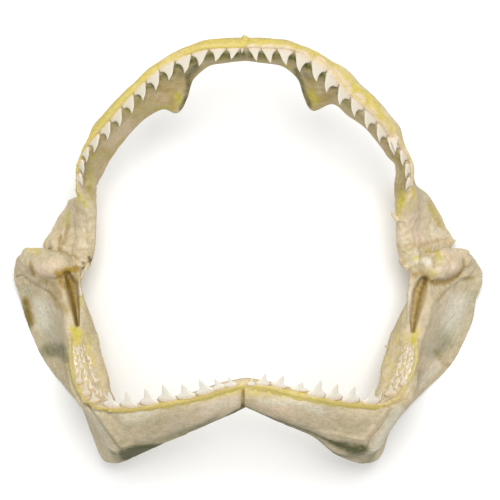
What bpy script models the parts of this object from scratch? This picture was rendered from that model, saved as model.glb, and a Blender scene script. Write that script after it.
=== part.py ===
"""Dried jaws of a large requiem shark, laid on their back with the mouth open upwards.

Sizes below are in millimetres and become metres when a mesh is made. +Z is up, out of
the open mouth. +Y points to the tip of the upper jaw and +X to the right half, as a
viewer above sees it. The floor is at Z = 0. Each half jaw is one plate of cartilage
that carries its teeth; the two upper halves and the two lower halves meet in the
middle plane, and each upper half meets its lower half at the jaw joint.
"""
import math

import bmesh
import bpy
import numpy as np

OBJECT_NAME = "shark_jaw"
MM = 0.001
UP = np.array((0.0, 0.0, 1.0))
NO_SHIFT = (0.0, 0.0, 0.0)
SIDES = ((-1, "left"), (1, "right"))
ORIGIN = np.array((2.45, -1.35, 0.0))   # the middle of the whole, in the frame below, mm

# ---- fits, mm ----------------------------------------------------------------
MIDDLE_GAP = 0.15          # each half stops this far from the middle plane
JOINT_GAP = 0.5            # the upper half keeps this far from the lower one's end

# ---- section shapes ----------------------------------------------------------
# Fourteen points round a plate: (part of the height from crest to far margin, mm outwards,
# and how sharp the corner is there, from 0 to 1, where it isn't smooth). The first is the
# crest with its teeth and the ninth the far margin. The points between them are on the
# outer face, and the last five on the inner face.
SECTIONS = {
    "upper_tip": ((0.00, 0), (-0.06, 4), (-0.02, 8), (0.18, 11), (0.40, 11), (0.62, 10),
                  (0.85, 7), (0.98, 3), (1.02, -1),
                  (0.95, -4), (0.80, -6.5), (0.50, -7.3), (0.25, -7), (0.06, -4)),
    "upper_front": ((0.00, 0), (-0.08, 4), (-0.02, 8.5), (0.15, 11), (0.36, 9.5),
                    (0.58, 7.5), (0.80, 5), (0.96, 2.5), (1.00, 0),
                    (0.94, -4), (0.74, -6), (0.48, -6), (0.22, -6), (0.06, -4)),
    "upper_process": ((0.00, 0), (-0.05, 5), (0.00, 10.5), (0.12, 13.5), (0.30, 10.5),
                      (0.50, 7), (0.75, 3), (0.94, 2), (1.00, 0),
                      (0.94, -2), (0.74, -3), (0.45, -4), (0.18, -6), (0.05, -4)),
    "upper_arch": ((0.00, 0), (-0.07, 4), (0.00, 9), (0.14, 12), (0.35, 10.5), (0.58, 8),
                   (0.80, 5), (0.95, 2.5), (1.00, 0),
                   (0.94, -3), (0.74, -5), (0.48, -6), (0.22, -6), (0.06, -4)),
    "upper_turn": ((0.00, 0), (-0.04, 2), (0.02, 2.6), (0.12, 2.9), (0.35, 3), (0.58, 3.5),
                   (0.78, 3.5), (0.95, 3), (1.00, 0),
                   (0.95, -4), (0.75, -6), (0.45, -8), (0.20, -8), (0.05, -5)),
    "upper_rear": ((0.00, 0), (-0.02, 1.5), (0.04, 2.2), (0.14, 2.2), (0.35, 2.5),
                   (0.58, 3), (0.80, 3.5), (0.95, 3), (1.00, 0),
                   (0.95, -4), (0.75, -9), (0.45, -14.5), (0.20, -14.5), (0.04, -8)),
    "quadrate_top": ((-0.02, -1), (0.02, 3), (0.10, 5), (0.22, 5), (0.40, 2.5), (0.60, 2),
                     (0.78, 3), (0.93, 4), (1.00, 0),
                     (0.94, -4), (0.72, -8), (0.45, -12.5), (0.20, -15.5), (0.02, -9)),
    "quadrate": ((-0.02, -1), (0.02, 3), (0.10, 5), (0.22, 5), (0.40, 2.5), (0.60, 2),
                 (0.78, 3), (0.93, 4), (1.00, 0),
                 (0.94, -4), (0.72, -7), (0.45, -9), (0.20, -11), (0.02, -7)),
    "quadrate_end": ((-0.03, 0), (0.02, 5), (0.12, 8.5), (0.28, 9), (0.45, 8), (0.62, 8),
                     (0.78, 8), (0.93, 7), (1.02, 1),
                     (0.94, -5), (0.72, -8), (0.45, -9), (0.20, -10.5), (0.02, -7)),
    "lower_tip": ((-0.02, 0), (0.00, 3), (0.10, 8), (0.34, 11.5), (0.62, 12, 0.2), (0.82, 11),
                  (0.95, 8), (1.02, 4), (1.02, -1),
                  (0.95, -5), (0.70, -8), (0.42, -9), (0.16, -8), (0.00, -4)),
    "lower_front": ((-0.02, 0), (0.00, 3), (0.10, 8), (0.42, 12.5), (0.80, 9, 0.5), (0.88, 7),
                    (0.95, 4), (1.00, 2), (1.01, -1),
                    (0.95, -4), (0.72, -4), (0.45, -6), (0.20, -10), (0.02, -5)),
    "lower_bar": ((-0.02, 0), (0.01, 4), (0.12, 9), (0.36, 12.5), (0.60, 12, 0.8), (0.76, 8),
                  (0.88, 4), (0.96, 2), (1.00, 0),
                  (0.94, -4), (0.72, -3), (0.45, -5), (0.20, -10), (0.02, -5)),
    "lower_turn": ((-0.02, 0), (0.01, 4), (0.10, 8), (0.30, 12.5), (0.53, 14, 1.0), (0.70, 9),
                   (0.85, 5), (0.95, 2), (1.00, 0),
                   (0.94, -5), (0.72, -6), (0.45, -8), (0.20, -11), (0.02, -5)),
    "lower_fold": ((-0.02, 0), (0.00, 3), (0.06, 6), (0.18, 7.5), (0.34, 8.5, 1.0), (0.52, 6),
                   (0.72, 4), (0.90, 3), (1.00, 2),
                   (0.95, -5), (0.72, -9), (0.45, -12), (0.18, -15), (0.02, -7)),
    "lower_corner": ((-0.02, 0), (0.00, 2.5), (0.03, 4), (0.07, 5), (0.13, 5.5, 1.0),
                     (0.36, 3), (0.62, 1.5), (0.85, 2.5), (1.00, 4),
                     (0.95, -5), (0.70, -13), (0.44, -17), (0.16, -22), (0.02, -9)),
    "lower_angle": ((-0.02, 0), (-0.01, 2), (0.01, 3.5), (0.03, 4.5), (0.06, 5, 1.0),
                    (0.30, 0.5), (0.58, -3), (0.84, 0), (1.00, 4),
                    (0.95, -5), (0.70, -13), (0.42, -20), (0.16, -26), (0.02, -10)),
    "ramus": ((-0.01, 1), (0.00, 2.5), (0.01, 4), (0.03, 5), (0.06, 5, 1.0), (0.24, 1),
              (0.48, -3.5), (0.78, -3.5), (1.00, 3),
              (0.95, -5), (0.68, -13), (0.38, -25), (0.14, -30), (0.02, -13)),
    "ramus_mid": ((-0.02, 1), (0.00, 2.5), (0.02, 4), (0.05, 4.5), (0.10, 4.5, 0.6),
                  (0.30, 1.5), (0.55, -2), (0.82, -1), (1.00, 3),
                  (0.95, -4), (0.70, -11), (0.38, -19), (0.10, -22), (-0.02, -12)),
    "ramus_rear": ((-0.02, 2), (0.00, 4), (0.04, 5.5), (0.10, 6), (0.18, 5, 0.4), (0.38, 1),
                   (0.62, -2), (0.85, 1), (1.00, 3),
                   (0.95, -4), (0.70, -9), (0.38, -14), (0.10, -16), (-0.06, -10)),
    "articular": ((-0.05, 3), (0.00, 7), (0.08, 10), (0.20, 12), (0.36, 12), (0.52, 10.5),
                  (0.70, 8), (0.90, 6), (1.02, 1),
                  (0.95, -5), (0.70, -9), (0.38, -15), (0.10, -21), (-0.08, -12)),
}

# ---- stations along a half jaw ----------------------------------------------
# Crest, far margin and section, from the middle plane to the joint: the right half.
UPPER_STATIONS = (
    ((1, 172, 148), (1, 172, 120), "upper_tip"),
    ((16, 172, 147), (17, 170, 117), "upper_tip"),
    ((32, 171, 146), (33, 165.5, 113), "upper_front"),
    ((45, 168, 143), (46, 154, 106), "upper_front"),
    ((55, 164, 141), (50, 138, 98), "upper_process"),
    ((65.8, 159, 139), (59, 125, 94), "upper_process"),
    ((77.6, 150.7, 135), (71, 128, 97), "upper_process"),
    ((88.7, 141.8, 130), (86, 122, 93), "upper_arch"),
    ((101.5, 129.4, 124), (101, 110, 84), "upper_arch"),
    ((113.8, 116.6, 117), (115, 95, 70), "upper_arch"),
    ((125.3, 104.9, 109), (124, 83, 58), "upper_arch"),
    ((137, 92.3, 101), (131, 74, 46), "upper_turn"),
    ((142.8, 79.2, 94), (137, 67, 34), "upper_turn"),
    ((145, 64.3, 87), (147, 59, 26), "upper_rear"),
    ((143, 51, 80), (160, 51, 14), "quadrate_top"),
    ((138, 38, 73), (170, 41, 4), "quadrate"),
    ((138, 23, 66), (178, 27, -1.5), "quadrate"),
    ((139, 8, 60), (184, 13, 3), "quadrate_end"),
    ((143, -6, 52), (178, 3, 14), "quadrate_end"),
)
LOWER_STATIONS = (
    ((1, -104, 143), (1, -117, 116), "lower_tip"),
    ((18, -107, 140), (20, -129, 105), "lower_tip"),
    ((36, -114, 136), (38, -142, 92), "lower_front"),
    ((57, -119, 131), (59, -153, 77), "lower_front"),
    ((77, -123, 123), (79, -165, 62), "lower_front"),
    ((96, -126, 115), (97, -176, 50), "lower_bar"),
    ((114.5, -127.5, 107), (113, -184, 40), "lower_turn"),
    ((123.5, -128, 103.5), (121, -184, 33), "lower_fold"),
    ((131.5, -127, 99.5), (128, -179, 28), "lower_corner"),
    ((141.5, -121, 92.5), (138, -159, 18), "lower_angle"),
    ((148.5, -110, 86.5), (149, -137, 10), "ramus"),
    ((152.5, -93, 80), (165, -119, 4), "ramus"),
    ((153, -74, 75), (185.5, -95, -1.5), "ramus"),
    ((151, -56, 69), (200, -63, 0), "ramus_mid"),
    ((154, -39, 64), (207, -35, 8), "ramus_rear"),
    ((157, -24, 61), (211, -17, 14), "ramus_rear"),
    ((157.5, -12, 59), (208, -4, 22), "articular"),
    ((156.5, -6, 57), (201, 4, 30), "articular"),
)
# The halves aren't quite alike. Added to the right one's far margin: (x, y, z).
RIGHT_SHIFTS = {
    "upper_jaw": {5: (-1, 2, 0), 6: (4, 5, 0), 7: (4, 2, 0), 8: (6, 4, 0), 9: (6, 5, 0),
                  10: (6, 5, 0), 11: (6, 3, 0), 12: (4, 2, 0), 13: (6, 5, 0), 14: (6, 6, 0),
                  15: (6, 3, 0), 16: (6, 2, 0), 17: (4, 3, 0)},
    "lower_jaw": {4: (0, -7, 0), 5: (0, -6, 0), 6: (-5, -1, 0), 7: (-6, 1, 0), 8: (-8, 3, 0),
                  9: (-9, 3, 0), 10: (-1, 1, 0), 11: (0, -1, 0), 12: (4.5, -1, 0), 13: (6, -1, 0),
                  14: (7, 0, 0), 15: (5, 0, 0)},
}
# Added to the right one's crest: (x, y, z).
RIGHT_CREST_SHIFTS = {
    "upper_jaw": {4: (-0.8, -1.4, 0), 5: (-1.6, -1.9, 0), 6: (-3.4, -3.6, 0),
                  7: (-4.7, -4.8, 0), 8: (-3.8, -3.5, 0), 9: (-3.2, -2.8, 0),
                  10: (-3.5, -2.8, 0), 11: (-2.8, -1.6, 0), 12: (-2.7, -1.1, 0),
                  13: (-3, -0.3, 0), 14: (-1, 0, 0)},
    "lower_jaw": {1: (0, 1, 0), 2: (0, 2.5, 0), 3: (0, 3, 0), 4: (0, 3, 0), 5: (0, 3, 0),
                  6: (0, 2.5, 0), 7: (0, 2, 0), 8: (-1, 1, 0), 9: (-3, 0, 0),
                  10: (-5, 0, 0), 11: (-6.5, 0, 0), 12: (-6.5, 0, 0), 13: (-2, 0, 0),
                  15: (-1, 0, 0), 16: (-1, 0, 0), 17: (-1, 0, 0)},
}
# Added to the outer face of the right one near its crest, mm outwards.
RIGHT_SWELLS = {
    "upper_jaw": {4: 1.5, 5: 2.5, 6: 4, 7: 5, 8: 4, 9: 3, 10: 3, 11: 3, 12: 2.5, 13: 1},
    "lower_jaw": {},
}
SWELL_SHARES = (0, 0.4, 0.8, 1, 1, 0.8, 0.5, 0.2, 0, 0, 0, 0, 0, 0)
CREST_SHARE = {"upper_jaw": 4.0, "lower_jaw": 1.0}   # of the crest in a section's heading
HEADING_STEP = 0.05        # of a station, to each side, for reading a heading
RINGS_PER_STATION = 1.5    # rings of the mesh for each station given
POINTS_PER_SPAN = (1, 1, 1, 1, 2, 2, 2, 2, 2, 2, 2, 2, 2, 1)   # of a section's mesh
WALK_STEPS = 20            # per station, for measuring along the crest
END_RINGS = 3              # rings that round the joint end
END_REACH = {"upper_jaw": 8.0, "lower_jaw": 9.0}
END_CAP = 0.4              # how much of a ring's turn the flat cap at the end takes
RELIEF_STATIONS = 4        # of the lower half's end, shape the joint of the upper half

# ---- teeth, mm ---------------------------------------------------------------
# Rows of (distance from the middle plane along the crest, width, height); the first
# upper left one is the small tooth beside the middle plane.
TEETH = {
    "upper_jaw": {"rise": 38, "seat": (0.5, 1.0), "rows": {
        -1: ((1.9, 2.8, 5), (9.4, 11, 12), (22, 13.5, 14.5), (37, 14.8, 15.5),
             (52, 15, 16.5), (67.3, 15, 15), (82.6, 15, 14), (97.8, 15, 13), (113, 15, 12.5),
             (129, 15.8, 12.5), (144.5, 15.2, 11.5), (160.5, 15, 10.5), (174.5, 11.6, 9),
             (187.5, 11.4, 8.5), (200, 10.5, 7.5)),
        1: ((6.4, 10.8, 15), (18, 12.2, 16), (31.5, 13.6, 16), (47.5, 15.2, 17.5),
            (63, 15.2, 17.5), (79, 15.4, 15.5), (94.5, 15, 14.5), (109.5, 15, 14),
            (126, 15.6, 12.5), (142.5, 15.6, 11), (158.5, 15.2, 10.5), (174.5, 12.6, 9),
            (188, 11.8, 8.5), (201, 10.5, 7.5))}},
    "lower_jaw": {"rise": 27, "seat": (1.5, 3.0), "rows": {
        -1: ((11.3, 10, 11), (21.4, 10.4, 13), (33.8, 14.6, 18), (51, 15, 17.5),
             (68.4, 15.4, 20), (85.6, 15.6, 19), (105.2, 15.4, 18.5), (122.5, 14, 19)),
        1: ((3.6, 6.4, 9), (13.2, 10.4, 14.5), (26.4, 12.6, 16.5), (45.2, 14.2, 14),
            (60.2, 15, 20), (76.1, 15.2, 19), (93.1, 15.2, 19.5), (113, 14.4, 19.5))}},
}
TOOTH_THICKNESS = 3.6
ROOT_DEPTH = 6.0           # of the root behind the edge of a tooth
THICKNESS_KEPT = 0.5       # of both, in the smallest teeth
WAIST, ROOT_AT = 0.26, -0.02   # thickest places in front and behind, parts of the height
FULL_WIDTH = 15.0          # of a full tooth, which has the thickness and root given
WIDTH_KEPT = 0.96          # of each width, so that neighbours stay apart
FRONT_LEAN, REAR_LEAN = 0.12, 0.36   # of a tip to the rear, parts of the width
LEAN_GROWS_TO = 80.0       # mm of the upper row over which the lean grows
BLADE_LEAN = 0.34          # the lean that the upper outline below is drawn at

# ---- replacement cusps on the inner shelf of the lower jaw --------------------
CUSP_ROWS = (0.90, 0.95)   # where the rows lie round the section, as parts of a turn
CUSP_PLACES = (9.3, 9.9, 10.5, 11.1, 11.7)
CUSP_SIZE = (5.2, 7.0)     # width at the foot and length
CUSP_FLATNESS = 0.6        # thickness of the foot, part of its width
CUSP_SINK = 1.2            # of the foot into the shelf
CUSP_STAGGER = 0.3         # of a station from row to row
CUSP_TILT = 0.5            # towards the mouth

# ---- recess in front of the joint of the lower jaw, mm ------------------------
RECESS_CENTRE = (154, -34, 66)
RECESS_HALF_SIZE = (5.0, 26, 17)
RECESS_TURN = math.radians(13)
RECESS_SEGMENTS = (12, 8)

# ---- colours: red, green, blue and roughness -----------------------------------
FINISHES = {
    "upper_jaw": (0.60, 0.50, 0.33, 0.55),
    "lower_jaw": (0.66, 0.58, 0.44, 0.60),
}


def curve_between(before, start, end, after, part):
    """One span of a smooth curve that runs through its points."""
    slope_in = (end - before) * 0.5
    slope_out = (after - start) * 0.5
    square, cube = part * part, part * part * part
    return ((2 * cube - 3 * square + 1) * start + (cube - 2 * square + part) * slope_in
            + (3 * square - 2 * cube) * end + (cube - square) * slope_out)


def value_at(values, place):
    """Read a list of vectors at a fractional index."""
    last = len(values) - 1
    index = min(int(math.floor(place)), last - 1)
    return curve_between(values[max(index - 1, 0)], values[index], values[index + 1],
                         values[min(index + 2, last)], place - index)


def closed_curve(points, per_span):
    """Points on a closed curve through (x, y, sharpness) rows, smooth where they aren't sharp."""
    count = len(points)
    result = []
    for index, steps in enumerate(per_span):
        around = [points[(index + step) % count] for step in (-1, 0, 1, 2)]
        _, start, end, _ = around
        for step in range(steps):
            part = step / steps
            straight = start + (end - start) * part
            smooth = curve_between(*around, part)
            result.append(smooth + (straight - smooth) * straight[2])
    return np.array(result)[:, :2]


def section_rows(name, swell):
    """A named section as (part of the height, mm outwards, sharpness) rows."""
    rows = np.array([(*point, 0.0)[:3] for point in SECTIONS[name]], float)
    rows[:, 1] += swell * np.array(SWELL_SHARES)
    return rows


class HalfJaw:
    """One half jaw, read as a smooth function of a place along its stations."""

    def __init__(self, kind, side):
        stations = UPPER_STATIONS if kind == "upper_jaw" else LOWER_STATIONS
        shifts = RIGHT_SHIFTS[kind] if side > 0 else {}
        crest_shifts = RIGHT_CREST_SHIFTS[kind] if side > 0 else {}
        swells = RIGHT_SWELLS[kind] if side > 0 else {}
        mirror = np.array((side, 1.0, 1.0))
        self.kind = kind
        self.side = side
        self.outer_sign = side if kind == "upper_jaw" else -side
        self.crests = [np.add(row[0], crest_shifts.get(index, NO_SHIFT)) * mirror
                       for index, row in enumerate(stations)]
        self.margins = [np.add(row[1], shifts.get(index, NO_SHIFT)) * mirror
                        for index, row in enumerate(stations)]
        self.sections = [section_rows(row[2], swells.get(index, 0.0))
                         for index, row in enumerate(stations)]
        self.last = len(stations) - 1

    def frame(self, place):
        """Crest point, unit vectors along the jaw, down the plate and outwards, height."""
        low, high = max(place - HEADING_STEP, 0.0), min(place + HEADING_STEP, self.last)
        crest = value_at(self.crests, place)
        down = value_at(self.margins, place) - crest
        height = np.linalg.norm(down)
        down = down / height
        along = (CREST_SHARE[self.kind]
                 * (value_at(self.crests, high) - value_at(self.crests, low))
                 + value_at(self.margins, high) - value_at(self.margins, low))
        along = along - down * along.dot(down)
        along = along / np.linalg.norm(along)
        outward = np.cross(along, down) * self.outer_sign
        return crest, along, down, outward, height

    def ring(self, place, swell):
        """The points of one section, pushed out all round by a swell in mm."""
        crest, _, down, outward, height = self.frame(place)
        flat = closed_curve(value_at(self.sections, place), POINTS_PER_SPAN)
        flat = flat * np.array((height, 1.0))
        if swell:
            chord = np.roll(flat, -1, axis=0) - np.roll(flat, 1, axis=0)
            normal = np.stack((-chord[:, 1], chord[:, 0]), axis=1)
            flat = flat + swell * normal / np.linalg.norm(normal, axis=1, keepdims=True)
        return crest + flat[:, :1] * down + flat[:, 1:] * outward

    def rings(self, first, swell=0.0):
        """Rings from a station to the joint end, which is rounded off."""
        count = int(round((self.last - first) * RINGS_PER_STATION))
        places = [first + (self.last - first) * step / count for step in range(count + 1)]
        result = [self.ring(place, swell) for place in places]
        _, along, _, _, _ = self.frame(self.last)
        end = result[-1]
        middle = end.mean(axis=0)
        for step in range(1, END_RINGS + 1):
            angle = 0.5 * math.pi * step / (END_RINGS + END_CAP)
            reach = END_REACH[self.kind] + swell
            result.append(middle + along * reach * math.sin(angle)
                          + (end - middle) * math.cos(angle))
        return result

    def place_at(self, distance):
        """The place on the crest at a distance from the middle plane."""
        steps = WALK_STEPS * self.last
        walked, point, place = 0.0, self.crests[0], 0.0
        for step in range(1, steps + 1):
            place = self.last * step / steps
            next_point = value_at(self.crests, place)
            walked += np.linalg.norm(next_point - point)
            point = next_point
            if walked >= distance:
                break
        return place


def mesh_from(vertices, faces, name):
    """A triangle mesh with its faces pointing out, from points in mm, moved to the origin."""
    bm = bmesh.new()
    points = [bm.verts.new((np.asarray(point) - ORIGIN) * MM) for point in vertices]
    for face in faces:
        bm.faces.new([points[index] for index in face])
    bmesh.ops.triangulate(bm, faces=bm.faces)
    bmesh.ops.recalc_face_normals(bm, faces=bm.faces)
    mesh = bpy.data.meshes.new(name)
    bm.to_mesh(mesh)
    bm.free()
    return mesh


def loft_mesh(rings, name):
    """Skin a list of rings and close both ends."""
    count = len(rings[0])
    faces = []
    for row in range(len(rings) - 1):
        for index in range(count):
            after = (index + 1) % count
            faces.append((row * count + index, row * count + after,
                          (row + 1) * count + after, (row + 1) * count + index))
    faces.append(tuple(range(count)))
    faces.append(tuple(range((len(rings) - 1) * count, len(rings) * count)))
    return mesh_from(np.concatenate(rings), faces, name)


def half_jaw_mesh(jaw, name):
    """The plate of one half jaw: flat in the middle plane, flattened where it lies."""
    rings = jaw.rings(0)
    rings[0][:, 0] = MIDDLE_GAP * jaw.side
    for ring in rings:
        ring[:, 0] = np.maximum(ring[:, 0] * jaw.side, MIDDLE_GAP) * jaw.side
        ring[:, 2] = np.maximum(ring[:, 2], 0.0)
    return loft_mesh(rings, name)


def upper_outline(lean):
    """An upper tooth in units of its width and height: a blade that leans to the rear."""
    bulge = 0.35 * lean
    shift = lean - BLADE_LEAN
    return ((-0.42, -0.32), (-0.50, 0.00), (-0.14 + 0.4 * shift - bulge, 0.42),
            (-0.02 + 0.7 * shift - 0.6 * bulge, 0.74), (lean, 1.00),
            (lean + 0.01, 0.66), (lean + 0.05, 0.33), (0.45, 0.20), (0.50, 0.02),
            (0.42, -0.32))


def lower_outline(lean):
    """A lower tooth: a narrow cusp on a broad root with two lobes."""
    return ((-0.38, -0.16), (-0.50, 0.02), (-0.46, 0.20), (-0.26, 0.32),
            (-0.12 + 0.3 * lean, 0.48), (-0.06 + 0.7 * lean, 0.74), (lean, 1.00),
            (0.07 + 0.7 * lean, 0.74), (0.14 + 0.3 * lean, 0.48), (0.28, 0.32),
            (0.46, 0.20), (0.50, 0.02), (0.38, -0.16))


def add_tooth(vertices, faces, base, rearward, tip_way, outline, size):
    """One tooth: its outline is a sharp edge round two humped faces."""
    width, height, thickness = size
    face_way = np.cross(rearward, tip_way)
    if face_way.dot(UP) < 0.0:
        face_way = -face_way
    start = len(vertices)
    for across, up in outline:
        vertices.append(base + rearward * (across * width) + tip_way * (up * height))
    front, root = thickness
    vertices.append(base + tip_way * (WAIST * height) + face_way * front)
    vertices.append(base + tip_way * (ROOT_AT * height) - face_way * root)
    count = len(outline)
    for index in range(count):
        after = (index + 1) % count
        faces.append((start + index, start + after, start + count))
        faces.append((start + after, start + index, start + count + 1))


def tooth_frame(jaw, distance, rise):
    """Crest point, rearward, tip and outward directions of the tooth at a distance."""
    place = jaw.place_at(distance)
    crest, _, _, outward, _ = jaw.frame(place)
    along = (value_at(jaw.crests, place + HEADING_STEP)
             - value_at(jaw.crests, place - HEADING_STEP))
    along = along / np.linalg.norm(along)
    level = np.array((along[0], along[1], 0.0)) / math.hypot(along[0], along[1])
    inward = np.array((level[1], -level[0], 0.0)) * jaw.outer_sign
    tip_way = inward * math.cos(rise) + UP * math.sin(rise)
    rearward = along - tip_way * along.dot(tip_way)
    return crest, rearward / np.linalg.norm(rearward), tip_way, outward


def teeth_mesh(jaw, name):
    """The front row of one half jaw, with the small tooth beside the middle plane."""
    sizes = TEETH[jaw.kind]
    upper = jaw.kind == "upper_jaw"
    out, raised = sizes["seat"]
    vertices, faces = [], []
    for distance, width, height in sizes["rows"][jaw.side]:
        scale = min(width / FULL_WIDTH, 1.0)
        grown = min(distance / LEAN_GROWS_TO, 1.0) if upper else 0.0
        lean = FRONT_LEAN + (REAR_LEAN - FRONT_LEAN) * grown
        outline = upper_outline(lean) if upper else lower_outline(lean)
        depth = THICKNESS_KEPT + (1.0 - THICKNESS_KEPT) * scale
        thickness = (0.5 * TOOTH_THICKNESS * depth, ROOT_DEPTH * depth)
        crest, rearward, tip_way, outward = tooth_frame(jaw, distance,
                                                        math.radians(sizes["rise"]))
        base = crest + outward * (out * scale) + UP * (raised * scale)
        add_tooth(vertices, faces, base, rearward, tip_way, outline,
                  (WIDTH_KEPT * width, height, thickness))
    return mesh_from(vertices, faces, name)


def cusps_mesh(jaw, name):
    """Replacement cusps that lean up and towards the mouth out of the inner shelf."""
    width, length = CUSP_SIZE
    vertices, faces = [], []
    for row, turn in enumerate(CUSP_ROWS):
        for place in CUSP_PLACES:
            there = place + CUSP_STAGGER * row
            ring = jaw.ring(there, 0.0)
            foot = value_at(list(ring), turn * len(ring))
            _, along, _, outward, _ = jaw.frame(there)
            tip_way = UP - CUSP_TILT * outward
            tip_way = tip_way / np.linalg.norm(tip_way)
            across = np.cross(along, tip_way) * CUSP_FLATNESS
            foot = foot - tip_way * CUSP_SINK
            start = len(vertices)
            vertices += [foot + along * (0.5 * width), foot + across * (0.5 * width),
                         foot - along * (0.5 * width), foot - across * (0.5 * width),
                         foot + tip_way * length]
            faces += [(start + 3, start + 2, start + 1, start)]
            faces += [(start + step, start + (step + 1) % 4, start + 4) for step in range(4)]
    return mesh_from(vertices, faces, name)


def material(name, kind):
    """Dried cartilage: matt, not metallic."""
    red, green, blue, roughness = FINISHES[kind]
    result = bpy.data.materials.new(name)
    result.use_nodes = True
    shader = result.node_tree.nodes["Principled BSDF"]
    shader.inputs["Base Color"].default_value = (red, green, blue, 1.0)
    shader.inputs["Roughness"].default_value = roughness
    shader.inputs["Metallic"].default_value = 0.0
    return result


def add_cutter(mesh, collection):
    """An object that only shapes another one."""
    cutter = bpy.data.objects.new(mesh.name, mesh)
    cutter.hide_render = True
    cutter.display_type = "WIRE"
    collection.objects.link(cutter)
    return cutter


def combine(thing, operand, operation):
    """Cut another shape out of an object, or join it on."""
    modifier = thing.modifiers.new(operand.name, "BOOLEAN")
    modifier.operation = operation
    modifier.solver = "EXACT"
    modifier.object = operand


def recess_cutter(side, name, collection):
    """A long narrow ellipsoid that hollows the recess in front of the joint."""
    bm = bmesh.new()
    around, along = RECESS_SEGMENTS
    bmesh.ops.create_uvsphere(bm, u_segments=around, v_segments=along, radius=1.0)
    bmesh.ops.scale(bm, verts=bm.verts, vec=np.array(RECESS_HALF_SIZE) * MM)
    mesh = bpy.data.meshes.new(name)
    bm.to_mesh(mesh)
    bm.free()
    cutter = add_cutter(mesh, collection)
    cutter.location = (np.array(RECESS_CENTRE) * (side, 1, 1) - ORIGIN) * MM
    cutter.rotation_euler = (0.0, 0.0, -RECESS_TURN * side)
    return cutter


def shape_joint(thing, side, side_name, cutters):
    """Hollow the upper half where the rounded end of the lower half lies against it."""
    lower = HalfJaw("lower_jaw", side)
    rings = lower.rings(lower.last - RELIEF_STATIONS, JOINT_GAP)
    relief = loft_mesh(rings, f"joint_relief_{side_name}")
    combine(thing, add_cutter(relief, cutters), "DIFFERENCE")


def shape_shelf(thing, jaw, side_name, cutters):
    """Cut the recess of a lower half and set the replacement cusps on its shelf."""
    recess = recess_cutter(jaw.side, f"recess_{side_name}", cutters)
    combine(thing, recess, "DIFFERENCE")
    cusps = add_cutter(cusps_mesh(jaw, f"replacement_cusps_{side_name}"), cutters)
    combine(thing, cusps, "UNION")


def half_jaw(kind, side, side_name, parts, cutters):
    """One half jaw: its plate, what shapes it, and its teeth."""
    name = f"{kind}_{side_name}"
    jaw = HalfJaw(kind, side)
    thing = bpy.data.objects.new(name, half_jaw_mesh(jaw, name))
    thing.data.materials.append(material(name, kind))
    parts.objects.link(thing)
    if kind == "upper_jaw":
        shape_joint(thing, side, side_name, cutters)
    else:
        shape_shelf(thing, jaw, side_name, cutters)
    teeth = add_cutter(teeth_mesh(jaw, f"{kind}_teeth_{side_name}"), cutters)
    combine(thing, teeth, "UNION")


def main():
    """Clear the scene and build the four half jaws."""
    for thing in list(bpy.data.objects):
        bpy.data.objects.remove(thing, do_unlink=True)
    parts = bpy.data.collections.new(OBJECT_NAME)
    cutters = bpy.data.collections.new("cutters")
    for collection in (parts, cutters):
        bpy.context.scene.collection.children.link(collection)
    for side, side_name in SIDES:
        for kind in ("upper_jaw", "lower_jaw"):
            half_jaw(kind, side, side_name, parts, cutters)


main()
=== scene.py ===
"""Looks of the dried shark jaws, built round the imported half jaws.

Sizes are in millimetres, in the part's frame, and become metres when a mesh is made. Each
half jaw is one skin of dried cartilage over the same stations and sections as the solids,
with its teeth as pieces of their own.
"""
import itertools
import math

import bmesh
import bpy
import numpy as np
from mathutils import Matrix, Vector
from mathutils.bvhtree import BVHTree
from mathutils.kdtree import KDTree


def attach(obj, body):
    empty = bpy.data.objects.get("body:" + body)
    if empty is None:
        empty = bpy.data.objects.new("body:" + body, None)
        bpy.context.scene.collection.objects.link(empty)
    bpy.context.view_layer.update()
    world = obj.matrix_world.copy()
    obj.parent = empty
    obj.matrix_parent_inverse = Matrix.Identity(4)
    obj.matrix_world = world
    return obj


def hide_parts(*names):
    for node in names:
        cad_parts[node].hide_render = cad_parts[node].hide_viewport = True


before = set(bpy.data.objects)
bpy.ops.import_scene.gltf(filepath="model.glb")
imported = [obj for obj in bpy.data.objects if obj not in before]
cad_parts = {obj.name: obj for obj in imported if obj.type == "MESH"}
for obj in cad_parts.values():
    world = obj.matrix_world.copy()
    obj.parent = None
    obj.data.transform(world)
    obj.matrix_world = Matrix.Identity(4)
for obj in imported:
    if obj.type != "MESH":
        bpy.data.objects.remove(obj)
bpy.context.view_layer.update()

MM = 0.001
UP = np.array((0.0, 0.0, 1.0))
NO_SHIFT = (0.0, 0.0, 0.0)
SIDES = ((-1, "left"), (1, "right"))
KINDS = ("upper_jaw", "lower_jaw")
ORIGIN = np.array((2.45, -1.35, 0.0))   # of the part, in the frame of the stations, mm

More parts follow.
